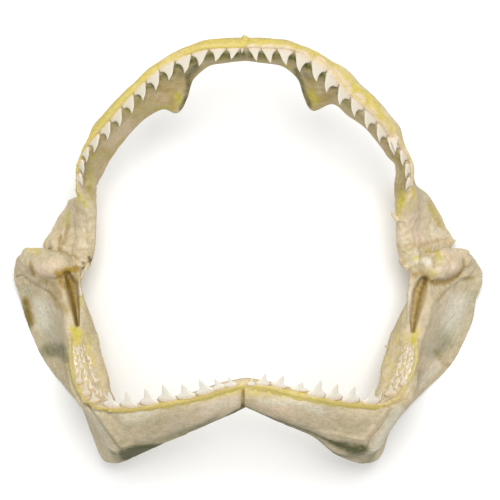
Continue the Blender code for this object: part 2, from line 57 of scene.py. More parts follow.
# ---- section shapes ----------------------------------------------------------
# Fourteen points round a plate: (part of the height from crest to far margin, mm outwards,
# and how sharp the corner is there, from 0 to 1, where it isn't smooth). The first is the
# crest with its teeth and the ninth the far margin. The points between them are on the
# outer face, and the last five on the inner face.
SECTIONS = {
    "upper_tip": ((0.00, 0), (-0.06, 4), (-0.02, 8), (0.18, 11), (0.40, 11), (0.62, 10),
                  (0.85, 7), (0.98, 3), (1.02, -1),
                  (0.95, -4), (0.80, -6.5), (0.50, -7.3), (0.25, -7), (0.06, -4)),
    "upper_front": ((0.00, 0), (-0.08, 4), (-0.02, 8.5), (0.15, 11), (0.36, 9.5),
                    (0.58, 7.5), (0.80, 5), (0.96, 2.5), (1.00, 0),
                    (0.94, -4), (0.74, -6), (0.48, -6), (0.22, -6), (0.06, -4)),
    "upper_process": ((0.00, 0), (-0.05, 5), (0.00, 10.5), (0.12, 13.5), (0.30, 10.5),
                      (0.50, 7), (0.75, 3), (0.94, 2), (1.00, 0),
                      (0.94, -2), (0.74, -3), (0.45, -4), (0.18, -6), (0.05, -4)),
    "upper_arch": ((0.00, 0), (-0.07, 4), (0.00, 9), (0.14, 12), (0.35, 10.5), (0.58, 8),
                   (0.80, 5), (0.95, 2.5), (1.00, 0),
                   (0.94, -3), (0.74, -5), (0.48, -6), (0.22, -6), (0.06, -4)),
    "upper_turn": ((0.00, 0), (-0.04, 2), (0.02, 2.6), (0.12, 2.9), (0.35, 3), (0.58, 3.5),
                   (0.78, 3.5), (0.95, 3), (1.00, 0),
                   (0.95, -4), (0.75, -6), (0.45, -8), (0.20, -8), (0.05, -5)),
    "upper_rear": ((0.00, 0), (-0.02, 1.5), (0.04, 2.2), (0.14, 2.2), (0.35, 2.5),
                   (0.58, 3), (0.80, 3.5), (0.95, 3), (1.00, 0),
                   (0.95, -4), (0.75, -9), (0.45, -14.5), (0.20, -14.5), (0.04, -8)),
    "quadrate_top": ((-0.02, -1), (0.02, 3), (0.10, 5), (0.22, 5), (0.40, 2.5), (0.60, 2),
                     (0.78, 3), (0.93, 4), (1.00, 0),
                     (0.94, -4), (0.72, -8), (0.45, -12.5), (0.20, -15.5), (0.02, -9)),
    "quadrate": ((-0.02, -1), (0.02, 3), (0.10, 5), (0.22, 5), (0.40, 2.5), (0.60, 2),
                 (0.78, 3), (0.93, 4), (1.00, 0),
                 (0.94, -4), (0.72, -7), (0.45, -9), (0.20, -11), (0.02, -7)),
    "quadrate_end": ((-0.03, 0), (0.02, 5), (0.12, 8.5), (0.28, 9), (0.45, 8), (0.62, 8),
                     (0.78, 8), (0.93, 7), (1.02, 1),
                     (0.94, -5), (0.72, -8), (0.45, -9), (0.20, -10.5), (0.02, -7)),
    "lower_tip": ((-0.02, 0), (0.00, 3), (0.10, 8), (0.34, 11.5), (0.62, 12, 0.2), (0.82, 11),
                  (0.95, 8), (1.02, 4), (1.02, -1),
                  (0.95, -5), (0.70, -8), (0.42, -9), (0.16, -8), (0.00, -4)),
    "lower_front": ((-0.02, 0), (0.00, 3), (0.10, 8), (0.42, 12.5), (0.80, 9, 0.5), (0.88, 7),
                    (0.95, 4), (1.00, 2), (1.01, -1),
                    (0.95, -4), (0.72, -4), (0.45, -6), (0.20, -10), (0.02, -5)),
    "lower_bar": ((-0.02, 0), (0.01, 4), (0.12, 9), (0.36, 12.5), (0.60, 12, 0.8), (0.76, 8),
                  (0.88, 4), (0.96, 2), (1.00, 0),
                  (0.94, -4), (0.72, -3), (0.45, -5), (0.20, -10), (0.02, -5)),
    "lower_turn": ((-0.02, 0), (0.01, 4), (0.10, 8), (0.30, 12.5), (0.53, 14, 1.0), (0.70, 9),
                   (0.85, 5), (0.95, 2), (1.00, 0),
                   (0.94, -5), (0.72, -6), (0.45, -8), (0.20, -11), (0.02, -5)),
    "lower_fold": ((-0.02, 0), (0.00, 3), (0.06, 6), (0.18, 7.5), (0.34, 8.5, 1.0), (0.52, 6),
                   (0.72, 4), (0.90, 3), (1.00, 2),
                   (0.95, -5), (0.72, -9), (0.45, -12), (0.18, -15), (0.02, -7)),
    "lower_corner": ((-0.02, 0), (0.00, 2.5), (0.03, 4), (0.07, 5), (0.13, 5.5, 1.0),
                     (0.36, 3), (0.62, 1.5), (0.85, 2.5), (1.00, 4),
                     (0.95, -5), (0.70, -13), (0.44, -17), (0.16, -22), (0.02, -9)),
    "lower_angle": ((-0.02, 0), (-0.01, 2), (0.01, 3.5), (0.03, 4.5), (0.06, 5, 1.0),
                    (0.30, 0.5), (0.58, -3), (0.84, 0), (1.00, 4),
                    (0.95, -5), (0.70, -13), (0.42, -20), (0.16, -26), (0.02, -10)),
    "ramus": ((-0.01, 1), (0.00, 2.5), (0.01, 4), (0.03, 5), (0.06, 5, 1.0), (0.24, 1),
              (0.48, -3.5), (0.78, -3.5), (1.00, 3),
              (0.95, -5), (0.68, -13), (0.38, -25), (0.14, -30), (0.02, -13)),
    "ramus_mid": ((-0.02, 1), (0.00, 2.5), (0.02, 4), (0.05, 4.5), (0.10, 4.5, 0.6),
                  (0.30, 1.5), (0.55, -2), (0.82, -1), (1.00, 3),
                  (0.95, -4), (0.70, -11), (0.38, -19), (0.10, -22), (-0.02, -12)),
    "ramus_rear": ((-0.02, 2), (0.00, 4), (0.04, 5.5), (0.10, 6), (0.18, 5, 0.4), (0.38, 1),
                   (0.62, -2), (0.85, 1), (1.00, 3),
                   (0.95, -4), (0.70, -9), (0.38, -14), (0.10, -16), (-0.06, -10)),
    "articular": ((-0.05, 3), (0.00, 7), (0.08, 10), (0.20, 12), (0.36, 12), (0.52, 10.5),
                  (0.70, 8), (0.90, 6), (1.02, 1),
                  (0.95, -5), (0.70, -9), (0.38, -15), (0.10, -21), (-0.08, -12)),
}

# ---- stations along a half jaw ----------------------------------------------
# Crest, far margin and section, from the middle plane to the joint: the right half.
UPPER_STATIONS = (
    ((1, 172, 148), (1, 172, 120), "upper_tip"),
    ((16, 172, 147), (17, 170, 117), "upper_tip"),
    ((32, 171, 146), (33, 165.5, 113), "upper_front"),
    ((45, 168, 143), (46, 154, 106), "upper_front"),
    ((55, 164, 141), (50, 138, 98), "upper_process"),
    ((65.8, 159, 139), (59, 125, 94), "upper_process"),
    ((77.6, 150.7, 135), (71, 128, 97), "upper_process"),
    ((88.7, 141.8, 130), (86, 122, 93), "upper_arch"),
    ((101.5, 129.4, 124), (101, 110, 84), "upper_arch"),
    ((113.8, 116.6, 117), (115, 95, 70), "upper_arch"),
    ((125.3, 104.9, 109), (124, 83, 58), "upper_arch"),
    ((137, 92.3, 101), (131, 74, 46), "upper_turn"),
    ((142.8, 79.2, 94), (137, 67, 34), "upper_turn"),
    ((145, 64.3, 87), (147, 59, 26), "upper_rear"),
    ((143, 51, 80), (160, 51, 14), "quadrate_top"),
    ((138, 38, 73), (170, 41, 4), "quadrate"),
    ((138, 23, 66), (178, 27, -1.5), "quadrate"),
    ((139, 8, 60), (184, 13, 3), "quadrate_end"),
    ((143, -6, 52), (178, 3, 14), "quadrate_end"),
)
LOWER_STATIONS = (
    ((1, -104, 143), (1, -117, 116), "lower_tip"),
    ((18, -107, 140), (20, -129, 105), "lower_tip"),
    ((36, -114, 136), (38, -142, 92), "lower_front"),
    ((57, -119, 131), (59, -153, 77), "lower_front"),
    ((77, -123, 123), (79, -165, 62), "lower_front"),
    ((96, -126, 115), (97, -176, 50), "lower_bar"),
    ((114.5, -127.5, 107), (113, -184, 40), "lower_turn"),
    ((123.5, -128, 103.5), (121, -184, 33), "lower_fold"),
    ((131.5, -127, 99.5), (128, -179, 28), "lower_corner"),
    ((141.5, -121, 92.5), (138, -159, 18), "lower_angle"),
    ((148.5, -110, 86.5), (149, -137, 10), "ramus"),
    ((152.5, -93, 80), (165, -119, 4), "ramus"),
    ((153, -74, 75), (185.5, -95, -1.5), "ramus"),
    ((151, -56, 69), (200, -63, 0), "ramus_mid"),
    ((154, -39, 64), (207, -35, 8), "ramus_rear"),
    ((157, -24, 61), (211, -17, 14), "ramus_rear"),
    ((157.5, -12, 59), (208, -4, 22), "articular"),
    ((156.5, -6, 57), (201, 4, 30), "articular"),
)
# The halves aren't quite alike. Added to the right one's far margin: (x, y, z).
RIGHT_SHIFTS = {
    "upper_jaw": {5: (-1, 2, 0), 6: (4, 5, 0), 7: (4, 2, 0), 8: (6, 4, 0), 9: (6, 5, 0),
                  10: (6, 5, 0), 11: (6, 3, 0), 12: (4, 2, 0), 13: (6, 5, 0), 14: (6, 6, 0),
                  15: (6, 3, 0), 16: (6, 2, 0), 17: (4, 3, 0)},
    "lower_jaw": {4: (0, -7, 0), 5: (0, -6, 0), 6: (-5, -1, 0), 7: (-6, 1, 0), 8: (-8, 3, 0),
                  9: (-9, 3, 0), 10: (-1, 1, 0), 11: (0, -1, 0), 12: (4.5, -1, 0), 13: (6, -1, 0),
                  14: (7, 0, 0), 15: (5, 0, 0)},
}
# Added to the right one's crest: (x, y, z).
RIGHT_CREST_SHIFTS = {
    "upper_jaw": {4: (-0.8, -1.4, 0), 5: (-1.6, -1.9, 0), 6: (-3.4, -3.6, 0),
                  7: (-4.7, -4.8, 0), 8: (-3.8, -3.5, 0), 9: (-3.2, -2.8, 0),
                  10: (-3.5, -2.8, 0), 11: (-2.8, -1.6, 0), 12: (-2.7, -1.1, 0),
                  13: (-3, -0.3, 0), 14: (-1, 0, 0)},
    "lower_jaw": {1: (0, 1, 0), 2: (0, 2.5, 0), 3: (0, 3, 0), 4: (0, 3, 0), 5: (0, 3, 0),
                  6: (0, 2.5, 0), 7: (0, 2, 0), 8: (-1, 1, 0), 9: (-3, 0, 0),
                  10: (-5, 0, 0), 11: (-6.5, 0, 0), 12: (-6.5, 0, 0), 13: (-2, 0, 0),
                  15: (-1, 0, 0), 16: (-1, 0, 0), 17: (-1, 0, 0)},
}
# Added to the outer face of the right one near its crest, mm outwards.
RIGHT_SWELLS = {
    "upper_jaw": {4: 1.5, 5: 2.5, 6: 4, 7: 5, 8: 4, 9: 3, 10: 3, 11: 3, 12: 2.5, 13: 1},
    "lower_jaw": {},
}
SWELL_SHARES = (0, 0.4, 0.8, 1, 1, 0.8, 0.5, 0.2, 0, 0, 0, 0, 0, 0)   # of a section's points
CREST_SHARE = {"upper_jaw": 4.0, "lower_jaw": 1.0}   # of the crest in a section's heading
HEADING_STEP = 0.05        # of a station, to each side, for reading a heading
WALK_STEPS = 20            # per station, for measuring along the crest
END_RINGS = 12             # rings that round the joint end
END_REACH = {"upper_jaw": 8.0, "lower_jaw": 9.0}
END_CAP = 1.6              # how much of a ring's turn the flat cap at the end takes
RINGS_PER_STATION = 14
POINTS_PER_SPAN = 6        # between two points of a section
VOXEL = 1.0                # of the skin, mm
SMOOTHING = 2              # rounds
NEAREST, LEAST_AWAY = 4, 0.05   # points a place is read from, mm added to their distances
MIDDLE_OVERLAP = 1.2       # of each half over the middle plane, where they have grown together

# ---- teeth, mm ---------------------------------------------------------------
# Rows of (distance from the middle plane along the crest, width, height); the first
# upper left one is the small tooth beside the middle plane.
TEETH = {
    "upper_jaw": {"rise": 38, "seat": (0.5, 1.0), "rows": {
        -1: ((1.9, 2.8, 5), (9.4, 11, 12), (22, 13.5, 14.5), (37, 14.8, 15.5),
             (52, 15, 16.5), (67.3, 15, 15), (82.6, 15, 14), (97.8, 15, 13), (113, 15, 12.5),
             (129, 15.8, 12.5), (144.5, 15.2, 11.5), (160.5, 15, 10.5), (174.5, 11.6, 9),
             (187.5, 11.4, 8.5), (200, 10.5, 7.5)),
        1: ((6.4, 10.8, 15), (18, 12.2, 16), (31.5, 13.6, 16), (47.5, 15.2, 17.5),
            (63, 15.2, 17.5), (79, 15.4, 15.5), (94.5, 15, 14.5), (109.5, 15, 14),
            (126, 15.6, 12.5), (142.5, 15.6, 11), (158.5, 15.2, 10.5), (174.5, 12.6, 9),
            (188, 11.8, 8.5), (201, 10.5, 7.5))}},
    "lower_jaw": {"rise": 27, "seat": (1.5, 3.0), "rows": {
        -1: ((11.3, 10, 11), (21.4, 10.4, 13), (33.8, 14.6, 18), (51, 15, 17.5),
             (68.4, 15.4, 20), (85.6, 15.6, 19), (105.2, 15.4, 18.5), (122.5, 14, 19)),
        1: ((3.6, 6.4, 9), (13.2, 10.4, 14.5), (26.4, 12.6, 16.5), (45.2, 14.2, 14),
            (60.2, 15, 20), (76.1, 15.2, 19), (93.1, 15.2, 19.5), (113, 14.4, 19.5))}},
}
FULL_WIDTH = 15.0          # of a full tooth, which has the thickness given below
LEAN_GROWS_TO = 80.0       # mm of the upper row over which the lean grows

# Edges of a tooth from the root to the tip: (part of the width, part of the height).
EDGES = {
    "upper_front": (((-0.49, -0.16), (-0.51, -0.06), (-0.50, 0.04), (-0.35, 0.22),
                     (-0.18, 0.50), (-0.03, 0.78), (0.12, 1.00)),
                    ((0.49, -0.16), (0.51, -0.06), (0.50, 0.04), (0.37, 0.17),
                     (0.27, 0.38), (0.20, 0.70), (0.12, 1.00))),
    "upper_rear": (((-0.49, -0.16), (-0.51, -0.06), (-0.51, 0.04), (-0.40, 0.25),
                    (-0.26, 0.48), (-0.04, 0.76), (0.36, 1.00)),
                   ((0.49, -0.16), (0.51, -0.06), (0.51, 0.09), (0.42, 0.17),
                    (0.31, 0.30), (0.27, 0.62), (0.36, 1.00))),
    "lower": (((-0.40, -0.06), (-0.54, 0.00), (-0.56, 0.14), (-0.41, 0.27),
               (-0.20, 0.43), (-0.09, 0.73), (0.09, 1.00)),
              ((0.40, -0.06), (0.54, 0.00), (0.56, 0.14), (0.43, 0.26),
               (0.23, 0.41), (0.16, 0.71), (0.09, 1.00))),
}
TOOTH_ROWS, TOOTH_COLUMNS = 44, 10
TOOTH_FLESH = {"upper_jaw": (1.1, 2.6), "lower_jaw": (1.0, 2.4)}   # thickness outside, inside
SERRATION = {"upper_jaw": 0.16, "lower_jaw": 0.06}                 # depth
HEIGHT_SHOWN = {"upper_jaw": 1.0, "lower_jaw": 0.82}   # of a tooth, the rest is in the gum
LOW_TEETH = {("lower_jaw", 1): {2: 0.72, 3: 0.6}}      # the same for two sunken ones
TURNED_BACK = (38.0, 135.0, 190.0)   # degrees reached, and the mm of the upper row between
                                     # which the tips turn back so far
RISE_VARIES, SEAT_VARIES = 2.0, 0.4  # from tooth to tooth, degrees and mm
ROOT_SWELL = {"upper_jaw": 0.1, "lower_jaw": 0.15}   # of the outer face, part of the thickness
INNER_SWELL = 0.8          # of the inner face there
ROOT_BULGE = (0.08, 0.13)  # where it swells and how far, parts of the height
SAW_ENDS = (0.12, 0.1)     # where the serration fades, at the root and at the tip
TAPER_POWER, ROUNDING_POWER = 0.7, 0.42   # of the thickness, to the tip and to the edges

# ---- replacement teeth ---------------------------------------------------------------
# On the inner shelf: two lines laid out on the view from above (across, down) and the way
# of the tips.
SHELVES = {
    "lower_jaw_left": (((73.5, 347), (75, 360), (77.5, 374), (83, 388), (92, 399), (104, 402)),
                       ((85, 345), (91, 357), (97, 368), (101, 379), (106, 389), (112, 395)),
                       (-0.14, 0.85, 0.30)),
    "lower_jaw_right": (((413, 347), (413, 361), (409, 374), (401, 389), (391, 399), (380, 402)),
                        ((402, 346), (398, 357), (393, 368), (388, 379), (384, 389), (378, 395)),
                        (0.14, 0.85, 0.30)),
}
SHELF_SIZES = ((2.8, 5.2), (6.6, 13.5))    # width and height of the rearmost and foremost
SHELF_FILES = 10
SHELF_ROWS = (5, 5, 4, 4, 3, 3, 3, 2, 2, 2)   # of each file, from the rear
SHELF_CROWDING = 1.25      # power that brings the rear files closer together
SHELF_SHRINKS = 0.35       # part of the size by which the innermost are smaller
SHELF_SCATTER = 0.8        # of the spots to each side, in units of the view
SHELF_VARIES = (0.8, 1.2)  # times the size
SHELF_BENDS = (0.3, (1.0, 0.4, 0.5))   # the most that the tip way turns, and share of each axis
SHELF_LEVEL = 0.75         # part of the tip way's slope to the skin that is taken away
SHELF_THICKNESS = 1.3      # times that of a full tooth of this width
SHELF_CURL = 0.10          # part of the width by which the middle is bent aside
SHELF_LIFTS, SHELF_SUNK = (-0.1, 0.7), 0.35   # mm over the skin, part of the height behind it
# Single ones beside the rows: root and tip as (across, down) each, and the width in mm.
SINGLE_TEETH = {
    "upper_jaw_left": (),
    "upper_jaw_right": (((393.5, 139), (396.7, 151.7), 9.0),),
    "lower_jaw_left": (((95, 402), (91.7, 391.5), 9.0),
                       ((86.5, 395), (85.3, 382), 7.6),
                       ((79, 383), (80.5, 369), 6.2)),
    "lower_jaw_right": (((372, 396), (368.3, 386.7), 6.5),
                        ((391, 395), (390, 383.5), 10.5),
                        ((404, 385), (402, 371), 6.4)),
}
SINGLE_LIFT = (1.2, 4.2)   # mm, of the root and the tip of a single one over the skin
SINGLE_ROOM = 7.0          # units of the view round its root, without others
SINGLE_RISE = (1.0, 12.0)  # mm, least and most, of the skin from the root to the tip
SINGLE_THICKNESS = 1.2     # times that of a full tooth of this width

# Tags of dried tissue: (from, by way of, to) as (across, down) each, and the thickness, mm.
TAGS = {
    "upper_jaw_left": (((243, 42), (244.5, 38), (246, 35), 2.4),
                       ((88, 262), (86.5, 267), (84.5, 271.5), 5.0)),
    "upper_jaw_right": (((400, 221), (395.5, 217.5), (391, 213), 5.4),
                        ((404, 262), (401, 260.5), (399, 260), 2.0),
                        ((411, 268), (407.5, 269), (405.5, 270.5), 2.0),
                        ((450, 246), (454, 242), (456, 239.5), 1.8),
                        ((452, 247), (456, 245), (457, 243), 1.6)),
    "lower_jaw_left": (((80, 280), (82, 276), (83, 271), 4.0),),
    "lower_jaw_right": (((389, 348), (386, 346.5), (384, 346), 2.4),
                        ((382, 384), (379, 386), (377.5, 387), 2.0)),
}
TAG_STEPS, TAG_AROUND = 8, 10
TAG_SINKS = (1.2, 0.9, 0.2)           # mm, of the start, the middle and the end
TAG_TAPER, TAG_FLATNESS = 0.97, 0.7   # share of the width lost to the end, height to width
TAG_FOOT = (0.3, 3.0)                 # share of the width at the start, and how fast it grows

# ---- gum, mm -------------------------------------------------------------------------
GUM_SPAN = {"upper_jaw": (0.4, 4.6), "lower_jaw": (0.2, 5.0)}   # outwards from the crest
GUM_THICKNESS = {"upper_jaw": 0.7, "lower_jaw": 0.5}
GUM_REACH = {"upper_jaw": 206.0, "lower_jaw": 126.0}            # along the crest
GUM_STEP, GUM_COLUMNS = 0.8, 9
GUM_WIDTHS = (0.78, 0.3, 0.3)         # part of the span: everywhere, on a tooth, and by chance
GUM_RUNOUT = 16.0                     # over which it narrows at the rear end
GUM_EDGE_SINK, GUM_DEPTH = 0.15, 0.9  # of the edges and of the underside in the skin
GUM_NOISES = ((8.0, 41), (2.4, 42))   # size and seed, of the width and of the surface
GUM_ROUGHNESS = 0.25
FALL_HEIGHT = 25.0                    # over the crest, from where the skin is looked for

# ---- small forms, stains, painted shade and painted light -------------------------
# Laid out on the view from above as lines of (across, down, half width) in units of a
# five-hundredth of the view. A form is (depth or height in mm, how square its flanks are,
# line) and a mark is (its mask, strength, line), which is a stain, painted shade or painted
# light, where a negative strength lessens a mask.
FORMS = {
    "lower_jaw_left": (
        (-12, 3, ((67, 275, 3.4), (71, 285, 6.2), (73, 297, 5.0), (75.5, 312, 3.2),
                  (77, 325, 1.8))),
        (-2.5, 2, ((58, 281, 4), (66, 279, 6), (75, 281, 5))),
        (3.0, 2, ((37, 266, 7), (50, 266, 9), (62, 262, 8))),
        (-1.8, 2, ((30, 262, 1.8), (31, 269, 2.2), (37, 278, 2.6), (48, 281, 2.8),
                   (60, 279, 2.6))),
        (-1.6, 2, ((16, 277, 0.9), (22, 275, 1.1), (31, 282, 1.3), (42, 288, 1.3),
                   (50, 293, 1.4), (56, 300, 1.6))),
        (-2.0, 2, ((30, 292, 7), (38, 312, 10), (50, 334, 9), (60, 352, 7))),
        (1.8, 2, ((79, 274, 1.6), (79, 285, 1.8), (80, 296, 2.0))),
        (1.6, 2, ((63, 296, 3.0), (66, 318, 3.0), (69, 338, 2.2))),
        (2.2, 2, ((70, 338, 1.4), (70, 352, 1.5), (71, 368, 1.5), (74, 383, 1.5),
                  (83, 401, 1.5), (95, 408, 1.4), (110, 410.5, 1.4))),
        (-2.2, 2, ((62, 350, 3), (66, 366, 3), (71, 383, 2.4), (79, 399, 1.8))),
        (-1.1, 2, ((87, 404, 0.9), (97, 418, 1.0), (108, 434, 1.0), (119, 448, 1.1))),
        (1.2, 2, ((90, 403, 1.6), (103, 421, 1.8), (121, 446, 1.6), (134, 445, 1.4),
                  (150, 443.5, 1.4), (164, 441.5, 1.4), (186, 433, 1.4))),
        (-1.6, 2, ((104, 411, 3), (118, 425, 5), (128, 434, 5))),
        (1.4, 2, ((110, 411, 1.8), (137, 409.5, 2.0), (172, 403.5, 2.4), (208, 395.5, 2.6),
                  (241, 385, 2.8))),
        (1.5, 2, ((18, 256, 5), (28, 250, 4))),
        (-3, 2, ((243, 392, 1.6), (243, 400, 1.8), (243, 408, 2.0))),
        (-1.4, 2, ((86, 346, 4), (92, 366, 4), (99, 384, 4))),
    ),
    "lower_jaw_right": (
        (-10, 3, ((424, 281, 4.2), (420, 292, 6.2), (417, 306, 5.2), (414.5, 320, 3.4),
                  (413, 331, 1.8))),
        (3.2, 2, ((428, 266, 6.0), (440, 269, 8.0), (456, 267, 8.0))),
        (1.4, 2, ((446, 262, 3.4), (452, 264, 3.0))),
        (2.0, 2, ((443, 251, 4.0), (449, 256, 4.0))),
        (1.2, 2, ((434, 274, 3.0), (440, 277, 2.6))),
        (1.8, 2, ((424, 259, 3.6), (429, 262, 3.6))),
        (-1.4, 2, ((434, 254, 1.5), (434.5, 268, 1.7))),
        (-1.1, 2, ((445, 257, 1.3), (449, 265, 1.5), (446, 273, 1.4))),
        (1.4, 2, ((441, 264, 2.6), (439, 269, 2.6))),
        (-2.4, 2, ((464, 260, 1.8), (464, 267, 2.2), (458, 276, 2.4), (446, 282, 2.6),
                   (432, 283, 2.4))),
        (2.4, 2, ((472, 268, 1.8), (463, 275, 2.2), (452, 282, 2.4), (441, 291, 2.6),
                  (437, 298, 2.6))),
        (-1.4, 2, ((464, 281, 2.4), (472, 279, 2.4))),
        (-1.2, 2, ((446, 292, 2.4), (440, 301, 2.6))),
        (-2.0, 2, ((464, 296, 8), (457, 318, 10), (445, 338, 9), (434, 356, 7))),
        (2.2, 2, ((410, 283, 1.6), (410, 300, 2.0), (409, 322, 1.8))),
        (1.8, 2, ((432, 300, 3.0), (428, 318, 3.0), (421, 338, 2.4))),
        (2.2, 2, ((416, 340, 1.4), (416.5, 361, 1.5), (413, 372, 1.5), (409, 380, 1.5),
                  (398, 398, 1.5), (384, 405, 1.4))),
        (-2.2, 2, ((424, 350, 3), (421, 366, 3), (414, 382, 2.4), (404, 398, 1.8))),
        (-1.1, 2, ((392, 409, 0.9), (381, 426, 1.0), (370, 439, 1.0), (366, 450, 1.1))),
        (1.2, 2, ((388, 407, 1.6), (376, 424, 1.8), (364, 439, 1.6), (350, 437, 1.4),
                  (337, 434, 1.4), (320, 431, 1.4))),
        (1.4, 2, ((375, 407, 1.8), (340, 404, 2.0), (300, 394, 2.6), (255, 385, 2.8))),
        (-1.4, 2, ((399, 346, 4), (393, 366, 4), (386, 384, 4))),
    ),
    "upper_jaw_left": (
        (2.6, 2, ((244.5, 38, 2.4), (246, 40, 2.4))),
        (-3.5, 2, ((49, 249, 1.6), (50, 251, 1.4))),
        (-2.4, 2, ((60, 236, 1.4), (60, 244, 1.5), (58, 253, 1.6))),
        (1.6, 2, ((54, 234, 1.8), (52, 245, 2.0))),
        (1.4, 2, ((68, 232, 2.2), (65, 246, 2.4), (62, 258, 2.2))),
        (-1.6, 2, ((73, 228, 1.6), (72, 242, 1.6), (69, 256, 1.6))),
        (1.2, 2, ((80, 216, 2.6), (80, 234, 2.6), (78, 256, 2.6))),
        (-1.3, 2, ((86, 228, 1.8), (86, 244, 1.8))),
        (-2.6, 3, ((83, 263, 1.0), (83.5, 264, 1.0))),
        (-2.2, 3, ((89, 257, 1.0), (90, 261, 1.0))),
        (1.2, 2, ((81, 196, 1.8), (86, 206, 2.0), (88, 220, 2.0))),
        (-1.5, 2, ((76, 202, 2.2), (77, 210, 2.4), (79, 217, 2.0))),
        (-1.6, 2, ((81, 152, 1.5), (84, 168, 1.4), (86, 184, 1.4))),
    ),
    "upper_jaw_right": (
        (2.0, 2, ((401, 260, 2.0), (407, 269, 2.2))),
        (3.2, 2, ((416, 261, 3.8), (420, 263, 3.8))),
        (2.2, 2, ((428, 263, 3.0), (431, 261, 3.0))),
        (-1.2, 2, ((423, 256, 1.6), (424, 265, 1.6))),
        (1.4, 2, ((425, 215, 2.4), (433, 234, 2.6), (438, 252, 2.6))),
        (-1.4, 2, ((416, 222, 2.0), (423, 240, 2.0), (428, 256, 2.0))),
        (1.2, 2, ((406, 222, 2.6), (411, 240, 2.6), (418, 258, 2.6))),
        (-1.6, 2, ((415, 184, 1.4), (424, 194, 1.5), (430, 204, 1.5))),
        (2.4, 2, ((452, 241, 1.8), (456, 244, 1.6))),
        (-2.0, 2, ((446, 240, 1.4), (449, 247, 1.4))),
        (1.2, 2, ((411, 196, 1.8), (404, 207, 2.0), (401, 220, 2.0))),
        (-1.6, 2, ((409, 160, 1.3), (407, 176, 1.3), (405, 190, 1.3))),
    ),
}
STRAIGHT_DEPTH = 4.0       # deeper forms than this go straight down, others along the normals
# Relief of the skin: rows of (height, size in mm, seed).
SKIN_RELIEF = ((0.5, 22.0, 1), (0.22, 7.0, 2))
JOINT_RELIEF = ((0.9, 6.0, 7), (0.6, 3.0, 8))
SHELF_RELIEF = ((0.6, 3.6, 9), (0.35, 2.2, 10))
LIP_RELIEF = ((0.5, 5.0, 6),)
LIP_HEIGHT, WRINKLE_HEIGHT = 1.3, 0.16
